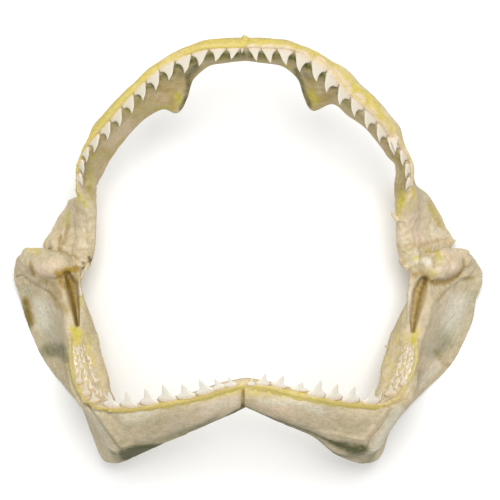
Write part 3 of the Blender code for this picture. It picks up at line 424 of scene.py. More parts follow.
# Places where the outline is drawn a little to one side: (spot, reach, shift in mm).
NUDGES = {
    "lower_jaw_left": (),
    "lower_jaw_right": (((482, 299), 15.0, (-3.0, 0.0)), ((484, 276), 5.0, (-1.4, 0.0))),
    "upper_jaw_left": (((99, 179), 5.0, (-1.4, 0.0)), ((98.5, 192), 5.0, (-1.5, 0.0)),
                       ((96, 207), 7.0, (0.9, 0.0)), ((75.5, 195.5), 3.6, (2.2, -0.4)),
                       ((70.5, 202), 3.0, (-1.2, 0.8))),
    "upper_jaw_right": (((392.5, 165), 6.0, (1.6, 0.6)), ((397, 181), 5.0, (-2.0, 0.0)),
                        ((397, 204), 9.0, (-2.2, 0.0))),
}
# Stains, painted shade and painted light: the shade and dark marks are painted shade under the
# front, on flanks turned from the light and in pits, slits and creases; the pale marks on the
# flat bands beside the lower folds are painted light.
STAINS_AND_PAINTED_SHADE_AND_LIGHT = {
    "lower_jaw_left": (
        ("ochre", 1.0, ((66, 276, 2.5), (70, 284, 5.5), (73, 297, 4.6), (77, 325, 1.8))),
        ("dark", 0.35, ((68, 283, 3), (72, 292, 3.2), (76, 316, 2), (77, 324, 1.4))),
        ("ochre", 0.75, ((30, 263, 1.6), (32, 270, 2.2), (34, 275, 1.8))),
        ("ochre", 0.45, ((42, 281, 3), (54, 284, 4), (60, 296, 4))),
        ("ochre", 1.0, ((58, 274, 4), (66, 271, 4), (76, 269, 4))),
        ("ochre", 0.8, ((60, 278, 5), (64, 286, 4))),
        ("ochre", 0.55, ((75, 277, 5), (79, 283, 3))),
        ("pale", 0.8, ((80, 279, 2.0), (80, 294, 1.8))),
        ("dark", 0.5, ((16, 277, 0.7), (22, 275, 0.8), (31, 282, 0.9), (42, 288, 0.8),
                       (50, 293, 0.7), (56, 300, 0.6))),
        ("ochre", 0.5, ((50, 290, 3), (57, 303, 4), (66, 310, 4))),
        ("pink", 0.9, ((40, 270, 7), (56, 265, 7))),
        ("pink", 0.3, ((22, 284, 6), (32, 288, 6))),
        ("shade", 0.2, ((22, 284, 6), (32, 291, 6))),
        ("shade", 0.2, ((66, 362, 4), (71, 380, 4), (78, 396, 3))),
        ("grey", 0.9, ((26, 292, 6), (40, 312, 10), (48, 330, 10), (58, 350, 7))),
        ("pale", 0.8, ((42, 306, 8), (44, 322, 8))),
        # Painted light on the flat band beside the fold.
        ("pale", 0.3, ((90, 410, 4), (102, 430, 5), (112, 452, 5))),
        ("ochre", 0.9, ((26, 300, 4), (28, 314, 5), (31, 322, 4))),
        ("shade", 0.55, ((25, 302, 3), (28, 316, 4), (30, 326, 3))),
        ("shade", 0.6, ((48, 350, 8), (60, 350, 8), (66, 360, 4))),
        ("yellow", 0.55, ((30, 248, 4), (38, 252, 3))),
        ("yellow", 0.8, ((73, 329, 4), (77, 334, 6.5), (76, 344, 5.5))),
        ("lime", 0.45, ((74, 330, 3.5), (79, 335, 5))),
        ("lime", 0.6, ((80, 298, 2), (80, 305, 2))),
        ("yellow", 0.65, ((71.5, 344, 2.6), (71.5, 368, 2.6), (75, 383, 2.4), (84, 400, 2.0),
                          (95, 407.5, 1.8), (110, 410.5, 2.0))),
        ("yellow", 0.6, ((86, 347, 3.4), (90, 356, 3.0), (93, 361, 2.4))),
        ("yellow", 0.35, ((76, 352, 4), (78, 366, 4), (84, 380, 5))),
        ("shade", 0.4, ((80, 398, 1.0), (86, 405, 1.1), (96, 410.5, 1.1), (108, 413, 0.9),
                        (125, 413, 0.8))),
        ("ochre", 0.55, ((85, 403, 1.4), (98, 409, 1.4), (120, 411, 1.4))),
        ("pink", 0.7, ((96, 355, 5), (103, 385, 6), (98, 394, 6))),
        ("yellow", 0.8, ((112, 410, 1.8), (137, 408.5, 2.0), (172, 402, 3.0), (196, 397, 4.2),
                         (208, 395, 4.8), (226, 391, 5.0), (241, 387.5, 5.4))),
        ("ochre", 0.6, ((186, 400, 1.4), (198, 398, 1.6), (208, 395.5, 1.6), (222, 391, 1.2))),
        ("ochre", 0.8, ((243.5, 390, 1.6), (243.5, 404, 2.0))),
        ("dark", 0.35, ((87, 404, 0.7), (97, 418, 0.7), (108, 434, 0.8), (119, 448, 1.0))),
        # Painted shade under the front.
        ("shade", 1.3, ((125, 455, 7), (138, 451, 7), (155, 448, 4.6), (166, 445, 2.8))),
        ("dark", 0.25, ((128, 454, 5), (140, 451, 5), (153, 448, 3.6))),
        ("shade", 0.8, ((166, 445, 2.0), (186, 437, 1.6), (204, 428, 1.6), (226, 417, 1.4),
                        (243, 407, 1.4))),
        ("grey", 0.6, ((92, 414, 4), (104, 434, 5), (110, 450, 5))),
        ("shade", 0.14, ((112, 432, 11), (150, 426, 9), (184, 416, 7), (226, 402, 6))),
        ("pink", 0.5, ((170, 424, 8), (195, 414, 7))),
        ("pink", 1.0, ((205, 410, 7), (232, 401, 7))),
        ("pale", 0.45, ((205, 410, 6), (232, 402, 5))),
        ("pale", 0.5, ((126, 420, 7), (150, 411, 8))),
    ),
    "lower_jaw_right": (
        ("ochre", 0.8, ((424, 281, 4.4), (420, 292, 6.4), (417, 306, 5.2), (413, 331, 2.2))),
        ("dark", 0.55, ((425, 278, 2.6), (424, 284, 2.0))),
        ("dark", 0.3, ((423, 288, 1.6), (418, 302, 1.6), (415, 318, 1.4))),
        ("ochre", 0.75, ((426, 279, 2.6), (434, 283, 3.0), (446, 282, 2.6), (457, 276, 2.2),
                         (463, 268, 1.8), (464, 261, 1.6))),
        ("pink", 0.8, ((411, 277, 3), (411, 300, 2))),
        ("ochre", 0.5, ((466, 278, 2.6), (472, 278, 2.2))),
        ("ochre", 0.3, ((444, 291, 2.0), (437, 298, 2.4))),
        ("lime", 0.6, ((431, 272, 2.2), (436, 275, 2.0))),
        ("yellow", 0.2, ((436, 262, 4), (448, 257, 3))),
        ("ochre", 0.6, ((414, 275, 2.6), (424, 273, 3.4), (431, 279, 3.4))),
        ("lime", 0.9, ((437.5, 252.5, 2.6), (438.5, 257, 2.4))),
        ("pale", 0.9, ((423, 259, 4), (429, 262, 4))),
        ("ochre", 0.3, ((434, 256, 1.5), (434.5, 267, 1.6))),
        ("pink", 0.9, ((440, 271, 6), (458, 269, 6))),
        ("grey", 0.9, ((470, 296, 6), (458, 316, 10), (448, 334, 10), (434, 354, 7))),
        ("pale", 0.8, ((457, 302, 9), (450, 322, 10))),
        # Painted light on the flat band beside the fold.
        ("pale", 0.8, ((400, 410, 4), (386, 430, 4.5), (374, 450, 5))),
        ("pale", 0.5, ((420, 382, 6), (440, 364, 6))),
        ("shade", 0.35, ((446, 344, 8), (438, 354, 5))),
        ("shade", 0.3, ((420, 372, 4), (414, 390, 3))),
        ("ochre", 0.45, ((436, 352, 3), (444, 364, 3), (455, 367, 2))),
        ("yellow", 0.8, ((418, 331, 3), (414, 337, 4.5), (414, 345, 3.4))),
        ("lime", 0.4, ((414, 337, 4.0), (414, 342, 3))),
        ("pale", 0.6, ((410, 288, 2), (411, 320, 2))),
        ("yellow", 0.6, ((415.5, 344, 2.4), (416, 361, 2.2), (408.5, 380, 2.2),
                         (398, 398, 1.8), (384, 405, 1.8), (375, 407, 2.0))),
        ("yellow", 0.35, ((410, 352, 4), (406, 366, 4), (400, 380, 5))),
        ("yellow", 0.7, ((375, 405.5, 2.8), (340, 403, 3.6), (318, 398.5, 4.6), (300, 393.5, 6.0),
                         (270, 389.5, 8.0), (252, 387.5, 8.6))),
        ("ochre", 0.55, ((400, 400, 1.4), (388, 406, 1.4), (370, 408, 1.4))),
        ("pink", 0.7, ((394, 355, 5), (388, 380, 6))),
        ("dark", 0.35, ((392, 409, 0.7), (381, 426, 0.8), (370, 439, 0.9), (366, 450, 1.0))),
        # Painted shade under the front.
        ("shade", 1.0, ((362, 450, 6.5), (354, 450, 7.5), (343, 446, 5.0), (330, 441.5, 2.4))),
        ("shade", 0.8, ((330, 441, 2.0), (310, 432, 1.6), (285, 423, 1.5), (254, 412, 1.4))),
        ("grey", 0.6, ((398, 410, 4), (387, 428, 5), (378, 444, 5))),
        ("shade", 0.12, ((290, 408, 7), (322, 418, 9), (356, 424, 11))),
        ("pink", 0.5, ((330, 420, 8), (300, 411, 7))),
        ("pink", 1.0, ((290, 407, 8), (260, 401, 6))),
        ("pale", 0.6, ((320, 411, 5), (296, 402, 5), (262, 401, 4))),
        ("olive", 0.6, ((375, 407.5, 1.6), (340, 405, 2.2), (320, 402, 2.2), (300, 397, 2.0))),
    ),
    "upper_jaw_left": (
        ("ochre", 0.8, ((60, 238, 1.8), (59, 252, 1.8))),
        ("dark", 0.9, ((49, 249, 1.2), (50, 251, 1.0))),
        ("dark", 0.8, ((83, 263, 0.9), (83.5, 264.5, 0.9))),
        ("dark", 0.8, ((89, 257, 0.9), (90, 261, 0.9))),
        ("shade", 0.7, ((83, 268, 1.2), (88, 265, 1.6), (91.5, 259, 1.4))),
        ("lime", 0.6, ((68, 214, 3), (66, 224, 3))),
        ("lime", 0.7, ((80, 196, 2.4), (86, 206, 2.0))),
        ("pink", 0.7, ((76, 206, 3), (80, 222, 4))),
        ("ochre", 0.5, ((68, 226, 2), (64, 244, 2))),
        ("olive", 0.9, ((160, 86, 9), (172, 92, 9), (172, 106, 8))),
        ("pink", 0.9, ((170, 84, 4), (176, 87, 4), (174, 92, 3))),
        ("pink", 0.6, ((150, 96, 7), (163, 100, 5))),
        ("olive", -0.75, ((110, 143, 8), (127, 128, 8))),
        ("pink", 0.7, ((113, 140, 8), (127, 128, 8))),
        ("olive", -0.6, ((94, 180, 4), (94, 202, 4))),
        ("yellow", 0.35, ((91, 180, 3), (90, 200, 3))),
        ("yellow", 0.9, ((84, 148, 4), (98, 124, 4.4), (120, 99, 5), (148, 73, 5), (184, 53, 4.6),
                         (214, 46, 4.4), (242, 44, 4.4))),
        ("lime", 0.85, ((178, 95, 3.6), (179, 103, 3.4))),
        ("lime", 0.5, ((158, 110, 3), (170, 108, 3))),
        ("shade", 0.75, ((196, 67, 4), (188, 76, 4.5), (189, 86, 3), (186, 98, 2.4),
                         (181, 109, 2.4))),
        ("shade", 0.5, ((172, 74, 4), (184, 72, 5))),
        ("grey", 0.9, ((208, 64, 2.2), (222, 61.5, 2.2), (244, 60, 2.0))),
        ("lime", 0.5, ((92, 168, 2), (91, 186, 2))),
    ),
    "upper_jaw_right": (
        ("yellow", -0.6, ((384, 104, 5), (396, 124, 6), (404, 142, 5), (410, 162, 4))),
        ("pink", 0.5, ((388, 106, 4), (398, 124, 5), (405, 142, 4), (410, 160, 3))),
        ("lime", 0.8, ((427, 251, 2.4), (428, 254, 2.2))),
        ("lime", 0.7, ((414, 259, 2.2), (438, 254, 2.2))),
        ("pale", 1.0, ((416, 262, 4.2), (423, 259, 4))),
        ("yellow", 0.7, ((249, 44, 4.4), (282, 46, 4.4), (310, 55, 4.6))),
        ("pale", 0.4, ((430, 264, 3), (400, 238, 3))),
        ("yellow", 0.7, ((400, 192, 3.0), (400, 204, 4.0), (398, 216, 2.6))),
        ("lime", 0.7, ((406, 194, 3.0), (401, 206, 3.6))),
        ("olive", 0.9, ((430, 205, 3.0), (434, 214, 3.0), (440, 226, 2.4))),
        ("lime", 0.4, ((431, 208, 2.4), (436, 216, 2.0))),
        ("pale", 0.4, ((432, 226, 3.4), (437, 236, 3.4))),
        ("ochre", 0.35, ((409, 248, 4), (440, 240, 2))),
        ("olive", 0.9, ((312, 82, 8), (312, 100, 8), (330, 96, 7))),
        ("pink", 0.9, ((314, 84, 4), (320, 88, 3.6), (330, 98, 4))),
        ("lime", 0.85, ((310, 94, 4), (316, 101, 4))),
        ("shade", 0.75, ((296, 70, 3), (300, 80, 3), (304, 92, 2.6), (310, 106, 2.4))),
        ("shade", 0.5, ((308, 78, 3.4), (306, 74, 4))),
        ("grey", 0.7, ((250, 60, 2.0), (268, 62, 2.0), (284, 66, 2.2))),
        ("pink", 0.9, ((412, 222, 8), (420, 240, 8), (418, 206, 6))),
    ),
}

# ---- colours, as on the screen --------------------------------------------------------
# Roughness and gloss.
SURFACES = {
    "cartilage": (0.6, 0.18),
    "gum": (0.5, 0.25),
    "tooth": (0.32, 0.45),
    "floor": (0.9, 0.5),
}
CARTILAGE_COLORS = {
    "upper_jaw": ((212, 198, 171), (201, 185, 151)),
    "lower_jaw": ((201, 188, 160), (190, 177, 147)),
}
# Two that mix beside the teeth, and the one of the outer rim.
GUM_COLORS = {
    "upper_jaw": ((213, 199, 176), (205, 186, 148), (200, 184, 104)),
    "lower_jaw": ((203, 185, 154), (190, 168, 116), (184, 167, 96)),
}
# How far out from the teeth the gum takes the outer colour: part of its width, with the
# noise of the frayed edge added.
GUM_RIMS = {
    "upper_jaw_left": 0.4,
    "upper_jaw_right": 0.95,
    "lower_jaw_left": 0.4,
    "lower_jaw_right": 0.3,
}
# Two of the crown and two of the root.
TOOTH_COLORS = {
    # The upper crowns and roots are darker copies of the lower ones: painted shade.
    "upper": (((213, 207, 190), (201, 192, 172)), ((215, 200, 182), (204, 186, 160))),
    "lower": (((228, 223, 210), (215, 208, 191)), ((220, 206, 189), (209, 192, 168))),
    "replacement": (((221, 211, 194), (208, 194, 170)), ((212, 194, 172), (199, 180, 144))),
}
REPLACEMENT_LOOKS = {"upper_jaw": "upper_tooth", "lower_jaw": "replacement_tooth"}
# Masks in the order in which they are laid over one another: colour, and size of the noise
# that frays the edge, mm.
TINTS = (
    ("pink", (216, 196, 172), 6.0),
    ("grey", (187, 181, 159), 6.0),
    # cream: the warm colour of the lower inner faces, darkened as painted shade
    ("cream", (186, 173, 140), 6.0),
    # pale: a whitish colour; on the flat bands beside the lower folds it is painted light
    ("pale", (220, 215, 198), 5.0),
    # olive: the colour of the inner faces, also laid on steep flanks as painted shade
    ("olive", (182, 163, 104), 7.0),
    ("yellow", (204, 188, 94), 5.0),
    ("lime", (190, 182, 74), 5.0),
    ("ochre", (158, 130, 56), 3.0),
    # shade: painted shade, under the lower front, in the hollow behind the upper teeth and on
    # flanks turned from the light
    ("shade", (84, 87, 44), 5.0),
    # dark: painted shade in pits, slits and creases, and deeper painted shade under the front
    ("dark", (60, 48, 20), 2.0),
)
MASKS = tuple(tint[0] for tint in TINTS)
# Of the painted shade and painted light marks too.
MARK_SQUARE = 2.6         # how square the flanks of a stain are
STATION_LENGTH, SECTION_GIRTH = 12.0, 90.0   # rough ones in mm, for the streaks' pattern

# ---- zones of a skin -----------------------------------------------------------
# A pair says from where to where the edge of a zone runs. Places count the stations from
# the middle plane, and turns are parts of the way round from the crest, negative inside.
SHELF_PLACES = ((8.2, 9.0), (12.0, 12.8))
SHELF_TURNS = ((-0.17, -0.13), (-0.04, -0.01))
JOINT_START = (4.5, 2.0)               # stations before the last one
LIP_TURN, LIP_WIDTH, LIP_END = 0.06, 0.045, (12.0, 13.5)
ROW_END = (13.0, 15.0)                 # of the upper teeth and the colours beside them
BAND_TURNS = ((0.02, 0.06), (0.14, 0.23))   # the yellow band on the outer face
BAND_NARROWED = {-1: 0.0, 1: 0.03}     # on each side
BORDER = (0.055, 0.035)                # turn of the pink border, and more of it on a tooth
RIDGE_TURNS = (0.14, 0.21)             # beyond the yellow band
INSIDE_TURNS = (-0.05, 0.0)
TIP_END, TIP_TURNS = (1.5, 5.5), (0.05, 0.1)
# Where the painted shade of the hollow behind the upper teeth lies, and how far forward it is
# strongest.
HOLLOW_TURN, HOLLOW_WIDTH, FRONT_END = -0.06, 0.07, (5.0, 9.0)
# Slopes of the normals under the lower front that get painted shade, and where it ends.
UNDER_SLOPES, UNDER_END = ((-0.9, -0.55), (0.2, 0.55)), (8.0, 9.0)
INNER_TURNS, INNER_START = ((-0.34, -0.26), (-0.1, -0.03)), (8.0, 9.5)
RIM_TURNS, RIM_END = ((-0.13, -0.07), (0.0, 0.04)), (7.0, 8.0)
# Steep flanks get olive as painted shade.
STEEP = (0.1, 0.45)                    # upward part of the normal on steep flanks

# ---- camera and light, mm ------------------------------------------------------
CAMERA_PLACE = (1.05, 8.35, 1300.0)   # over the open mouth, looking straight down
FOCAL_PIXELS, PICTURE_PIXELS, SENSOR = 1400.0, 500.0, 36.0
LIGHT_TARGET = (0.0, 0.0, 50.0)
LIGHTS = (   # name, place, size and power in watts
    ("key", (100.0, 480.0, 1500.0), 700.0, 15.0),
    ("fill", (-200.0, 100.0, 1900.0), 1400.0, 10.0),
)
WORLD_STRENGTH = 0.54
FLOOR_COLOR = (0.93, 0.93, 0.92, 1.0)
FLOOR_HALF, FLOOR_DROP = 3000.0, 0.3
NEAREST_SEEN = 50.0        # from the camera


def curve_between(before, start, end, after, part):
    """One span of a smooth curve that runs through its points."""
    slope_in = (end - before) * 0.5
    slope_out = (after - start) * 0.5
    square, cube = part * part, part * part * part
    return ((2 * cube - 3 * square + 1) * start + (cube - 2 * square + part) * slope_in
            + (3 * square - 2 * cube) * end + (cube - square) * slope_out)


def value_at(values, place):
    """Read a list of vectors at a fractional index."""
    last = len(values) - 1
    index = min(int(math.floor(place)), last - 1)
    return curve_between(values[max(index - 1, 0)], values[index], values[index + 1],
                         values[min(index + 2, last)], place - index)


def closed_curve(points):
    """Points on a closed curve through (x, y, sharpness) rows, smooth where they aren't sharp."""
    count = len(points)
    result = []
    for index in range(count):
        around = [points[(index + step) % count] for step in (-1, 0, 1, 2)]
        _, start, end, _ = around
        for step in range(POINTS_PER_SPAN):
            part = step / POINTS_PER_SPAN
            straight = start + (end - start) * part
            smooth = curve_between(*around, part)
            result.append(smooth + (straight - smooth) * straight[2])
    return np.array(result)[:, :2]


def section_rows(name, swell):
    """A named section as (part of the height, mm outwards, sharpness) rows."""
    rows = np.array([(*point, 0.0)[:3] for point in SECTIONS[name]], float)
    rows[:, 1] += swell * np.array(SWELL_SHARES)
    return rows


class HalfJaw:
    """One half jaw, read as a smooth function of a place along its stations."""

    def __init__(self, kind, side):
        stations = UPPER_STATIONS if kind == "upper_jaw" else LOWER_STATIONS
        shifts = RIGHT_SHIFTS[kind] if side > 0 else {}
        crest_shifts = RIGHT_CREST_SHIFTS[kind] if side > 0 else {}
        swells = RIGHT_SWELLS[kind] if side > 0 else {}
        mirror = np.array((side, 1.0, 1.0))
        self.kind = kind
        self.side = side
        self.outer_sign = side if kind == "upper_jaw" else -side
        self.crests = [np.add(row[0], crest_shifts.get(index, NO_SHIFT)) * mirror - ORIGIN
                       for index, row in enumerate(stations)]
        self.margins = [np.add(row[1], shifts.get(index, NO_SHIFT)) * mirror - ORIGIN
                        for index, row in enumerate(stations)]
        self.sections = [section_rows(row[2], swells.get(index, 0.0))
                         for index, row in enumerate(stations)]
        self.last = len(stations) - 1
        steps = WALK_STEPS * self.last
        self.walk_places = np.linspace(0.0, self.last, steps + 1)
        walked = np.array([value_at(self.crests, place) for place in self.walk_places])
        lengths = np.linalg.norm(np.diff(walked, axis=0), axis=1)
        self.walk = np.concatenate(((0.0,), np.cumsum(lengths)))

    def frame(self, place):
        """Crest point, unit vectors along the jaw, down the plate and outwards, height."""
        low, high = max(place - HEADING_STEP, 0.0), min(place + HEADING_STEP, self.last)
        crest = value_at(self.crests, place)
        down = value_at(self.margins, place) - crest
        height = np.linalg.norm(down)
        down = down / height
        along = (CREST_SHARE[self.kind]
                 * (value_at(self.crests, high) - value_at(self.crests, low))
                 + value_at(self.margins, high) - value_at(self.margins, low))
        along = along - down * along.dot(down)
        along = along / np.linalg.norm(along)
        outward = np.cross(along, down) * self.outer_sign
        return crest, along, down, outward, height

    def ring(self, place):
        """The points of one section."""
        crest, _, down, outward, height = self.frame(place)
        flat = closed_curve(value_at(self.sections, place))
        return crest + flat[:, :1] * height * down + flat[:, 1:] * outward

    def rings(self):
        """Rings and their places from the middle plane to the rounded joint end."""
        count = int(round(self.last * RINGS_PER_STATION))
        places = list(np.linspace(0.0, self.last, count + 1))
        result = [self.ring(place) for place in places]
        _, along, _, _, _ = self.frame(self.last)
        end = result[-1]
        middle = end.mean(axis=0)
        for step in range(1, END_RINGS + 1):
            angle = 0.5 * math.pi * step / (END_RINGS + END_CAP)
            result.append(middle + along * END_REACH[self.kind] * math.sin(angle)
                          + (end - middle) * math.cos(angle))
            places.append(self.last + step / END_RINGS)
        return result, places

    def place_at(self, distance):
        """The place on the crest at a distance from the middle plane."""
        return float(np.interp(distance, self.walk, self.walk_places))


# ---- mesh helpers --------------------------------------------------------------
def new_piece(name, vertices, faces):
    """An object from points in mm and faces, shaded smooth."""
    mesh = bpy.data.meshes.new(name)
    mesh.from_pydata((np.asarray(vertices) * MM).tolist(), [], faces)
    mesh.validate()
    mesh.polygons.foreach_set("use_smooth", [True] * len(mesh.polygons))
    piece = bpy.data.objects.new(name, mesh)
    bpy.context.scene.collection.objects.link(piece)
    return piece


def ring_faces(rings, around, first=0):
    """Quads between rings of points that follow one another, and a cap on each end."""
    faces = []
    for row, index in itertools.product(range(rings - 1), range(around)):
        near = first + row * around
        far = near + around
        after = (index + 1) % around
        faces.append((near + index, near + after, far + after, far + index))
    faces.append(tuple(range(first, first + around)))
    faces.append(tuple(range(first + (rings - 1) * around, first + rings * around)))
    return faces


def read_values(elements, name, width, kind=float):
    """One property of the elements of a mesh, a row for each."""
    flat = np.empty(len(elements) * width, dtype=kind)
    elements.foreach_get(name, flat)
    return flat.reshape(-1, width)


def read_points(mesh):
    """The points of a mesh in mm."""
    return read_values(mesh.vertices, "co", 3) / MM


def write_points(mesh, points):
    """Put points in mm back into a mesh."""
    mesh.vertices.foreach_set("co", (points * MM).ravel())
    mesh.update()


def smooth(mesh, rounds, share=0.5):
    """Move each point towards the middle of its neighbours."""
    points = read_points(mesh)
    edges = read_values(mesh.edges, "vertices", 2, np.int64)
    count = np.bincount(edges.ravel(), minlength=len(points))[:, None]
    for _ in range(rounds):
        total = np.zeros_like(points)
        np.add.at(total, edges[:, 0], points[edges[:, 1]])
        np.add.at(total, edges[:, 1], points[edges[:, 0]])
        points = points + share * (total / count - points)
    write_points(mesh, points)


def remesh(piece, voxel):
    """Replace a piece's mesh by an even one that takes in all its closed bodies."""
    modifier = piece.modifiers.new("even", "REMESH")
    modifier.mode = "VOXEL"
    modifier.voxel_size = voxel * MM
    modifier.use_smooth_shade = True
    evaluated = piece.evaluated_get(bpy.context.evaluated_depsgraph_get())
    mesh = bpy.data.meshes.new_from_object(evaluated)
    piece.modifiers.clear()
    piece.data = mesh


def put_attribute(mesh, name, values):
    """One number for each point, for the materials to read."""
    attribute = mesh.attributes.new(name, "FLOAT", "POINT")
    attribute.data.foreach_set("value", np.asarray(values, dtype=np.float32))


# ---- shapes of functions ---------------------------------------------------------
NOISE_VALUES = np.random.default_rng(11).uniform(-1.0, 1.0, 4096)
NOISE_PRIMES = np.array((73856093, 19349663, 83492791))


def noise(points, size, seed=0):
    """Smooth noise from -1 to 1 over points, with features of a size in mm."""
    cells = points / size + seed * 7.31
    base = np.floor(cells).astype(np.int64)
    part = cells - base
    ease = part * part * (3.0 - 2.0 * part)
    total = np.zeros(len(points))
    for corner in itertools.product((0, 1), repeat=3):
        key = ((base + np.array(corner)) * NOISE_PRIMES).sum(axis=1)
        weight = np.where(corner, ease, 1.0 - ease).prod(axis=1)
        total += weight * NOISE_VALUES[(key ^ (key >> 9)) & 4095]
    return total


def hump(value, centre, half_width):
    """1 at the centre, falling smoothly to 0."""
    return np.exp(-((value - centre) / half_width) ** 2)


def step_up(value, low, high):
    """0 below low, 1 above high, and smooth between."""
    part = np.clip((value - low) / (high - low), 0.0, 1.0)
    return part * part * (3.0 - 2.0 * part)


def step_down(value, low, high):
    """1 below low, 0 above high, and smooth between."""
    return step_up(-value, -high, -low)


def relief(points, layers):
    """Noises laid on one another: rows of (height, size, seed)."""
    return sum(height * noise(points, size, seed) for height, size, seed in layers)


def patches(points, size, seed, low, high):
    """Soft patches of a size: 1 where the noise is over high, 0 where it is under low."""
    return step_up(noise(points, size, seed), low, high)


def from_crest(turn):
    """The shortest way round a section from the crest, negative on the inner face."""
    return (turn + 0.5) % 1.0 - 0.5


# ---- cartilage ----------------------------------------------------------------
def skin_points(jaw):
    """Points, quads, places and turns of a half jaw's plate."""
    rings, ring_places = jaw.rings()
    around = len(rings[0])
    rings[0][:, 0] = -ORIGIN[0] - MIDDLE_OVERLAP * jaw.side
    points = np.concatenate(rings)
    beyond = (points[:, 0] + ORIGIN[0]) * jaw.side
    points[:, 0] = np.maximum(beyond, -MIDDLE_OVERLAP) * jaw.side - ORIGIN[0]
    points[:, 2] = np.maximum(points[:, 2], 0.0)
    places = np.repeat(ring_places, around)
    turns = np.tile(np.arange(around) / around, len(rings))
    return points, ring_faces(len(rings), around), places, turns


def find_places(tree, places, turns, points):
    """The place and the turn of the skin nearest to each point."""
    found_places = np.empty(len(points))
    found_turns = np.empty(len(points))
    for index, point in enumerate(points):
        near = tree.find_n(point, NEAREST)
        picks = [pick for _, pick, _ in near]
        weights = np.array([1.0 / (away + LEAST_AWAY) for _, _, away in near])
        weights /= weights.sum()
        found_places[index] = weights @ places[picks]
        angles = turns[picks] * 2.0 * math.pi
        turned = math.atan2(weights @ np.sin(angles), weights @ np.cos(angles))
        found_turns[index] = (turned / (2.0 * math.pi)) % 1.0
    return found_places, found_turns


def orient(mesh):
    """Turn all faces outwards."""
    bm = bmesh.new()
    bm.from_mesh(mesh)
    bmesh.ops.recalc_face_normals(bm, faces=bm.faces)
    bm.to_mesh(mesh)
    bm.free()


def cartilage(jaw, node):
    """The skin of one half jaw with the places and turns of its points."""
    points, faces, places, turns = skin_points(jaw)
    piece = new_piece(f"{node}_cartilage", points, faces)
    orient(piece.data)
    remesh(piece, VOXEL)
    smooth(piece.data, SMOOTHING)
    tree = KDTree(len(points))
    for index, point in enumerate(points):
        tree.insert(point, index)
    tree.balance()
    mesh = piece.data
    points = read_points(mesh)
    place, turn = find_places(tree, places, turns, points)
    normals = read_values(mesh.vertex_normals, "vector", 3)
    sculpted = sculpt(jaw, node, points, normals, place, turn)
    sculpted[:, 2] = np.maximum(sculpted[:, 2], 0.0)
    write_points(mesh, sculpted)
    paint(jaw, node, mesh, sculpted, normals, place, turn)
    return piece


def seen(points):
    """Where a viewer over the middle sees points: across and down, as forms are laid out."""
    spread = FOCAL_PIXELS / (CAMERA_PLACE[2] - points[:, 2])
    across = 0.5 * PICTURE_PIXELS + (points[:, 0] - CAMERA_PLACE[0]) * spread
    down = 0.5 * PICTURE_PIXELS - (points[:, 1] - CAMERA_PLACE[1]) * spread
    return np.stack((across, down), axis=1)


def stroke(spots, line, square):
    """1 on a line of (across, down, half width) rows, falling to 0 beside it."""
    result = np.zeros(len(spots))
    for start, end in zip(line[:-1], line[1:]):
        first, way = np.array(start[:2]), np.subtract(end[:2], start[:2])
        part = np.clip((spots - first) @ way / (way @ way), 0.0, 1.0)
        away = np.linalg.norm(spots - first - part[:, None] * way, axis=1)
        half = start[2] + (end[2] - start[2]) * part
        result = np.maximum(result, np.exp(-(away / half) ** square))
    return result


def shelf_zone(place, turn):
    """1 on the shelf of a lower half that carries the replacement teeth, 0 elsewhere."""
    around = from_crest(turn)
    return (step_down(around, *SHELF_TURNS[1]) * step_up(around, *SHELF_TURNS[0])
            * step_up(place, *SHELF_PLACES[0]) * step_down(place, *SHELF_PLACES[1]))


def sculpt(jaw, node, points, normals, place, turn):
    """Forms smaller than the sections: lips, folds, pits, wrinkles and grain."""
    spots = seen(points)
    facing = step_up(normals[:, 2], 0.0, 0.3)
    amount = relief(points, SKIN_RELIEF)
    flow = np.stack((place * 1.2, turn * 60.0, np.zeros(len(place))), axis=1)
    wrinkles = noise(flow, 1.6, 4) + 0.6 * noise(flow * (2.0, 1.0, 1.0), 0.8, 5)
    amount += WRINKLE_HEIGHT * wrinkles * facing
    joint = step_up(place, *(jaw.last - before for before in JOINT_START)) * facing
    amount += joint * relief(points, JOINT_RELIEF)
    if jaw.kind == "upper_jaw":
        lip = hump(from_crest(turn), LIP_TURN, LIP_WIDTH) * step_down(place, *LIP_END)
        amount += lip * (LIP_HEIGHT + relief(points, LIP_RELIEF))
    else:
        amount += shelf_zone(place, turn) * relief(points, SHELF_RELIEF)
    shift = normals * amount[:, None]
    for height, square, line in FORMS[node]:
        here = height * facing * stroke(spots, line, square)
        way = UP if height < -STRAIGHT_DEPTH else normals
        shift = shift + here[:, None] * way
    for spot, reach, (across, up) in NUDGES[node]:
        near = np.exp(-np.sum((spots - spot) ** 2, axis=1) / (reach * reach))
        shift = shift + near[:, None] * (across, up, 0.0)
    return points + shift


def add(masks, name, amount):
    """Bring a mask up to an amount where it is less."""
    masks[name] = np.maximum(masks[name], amount)


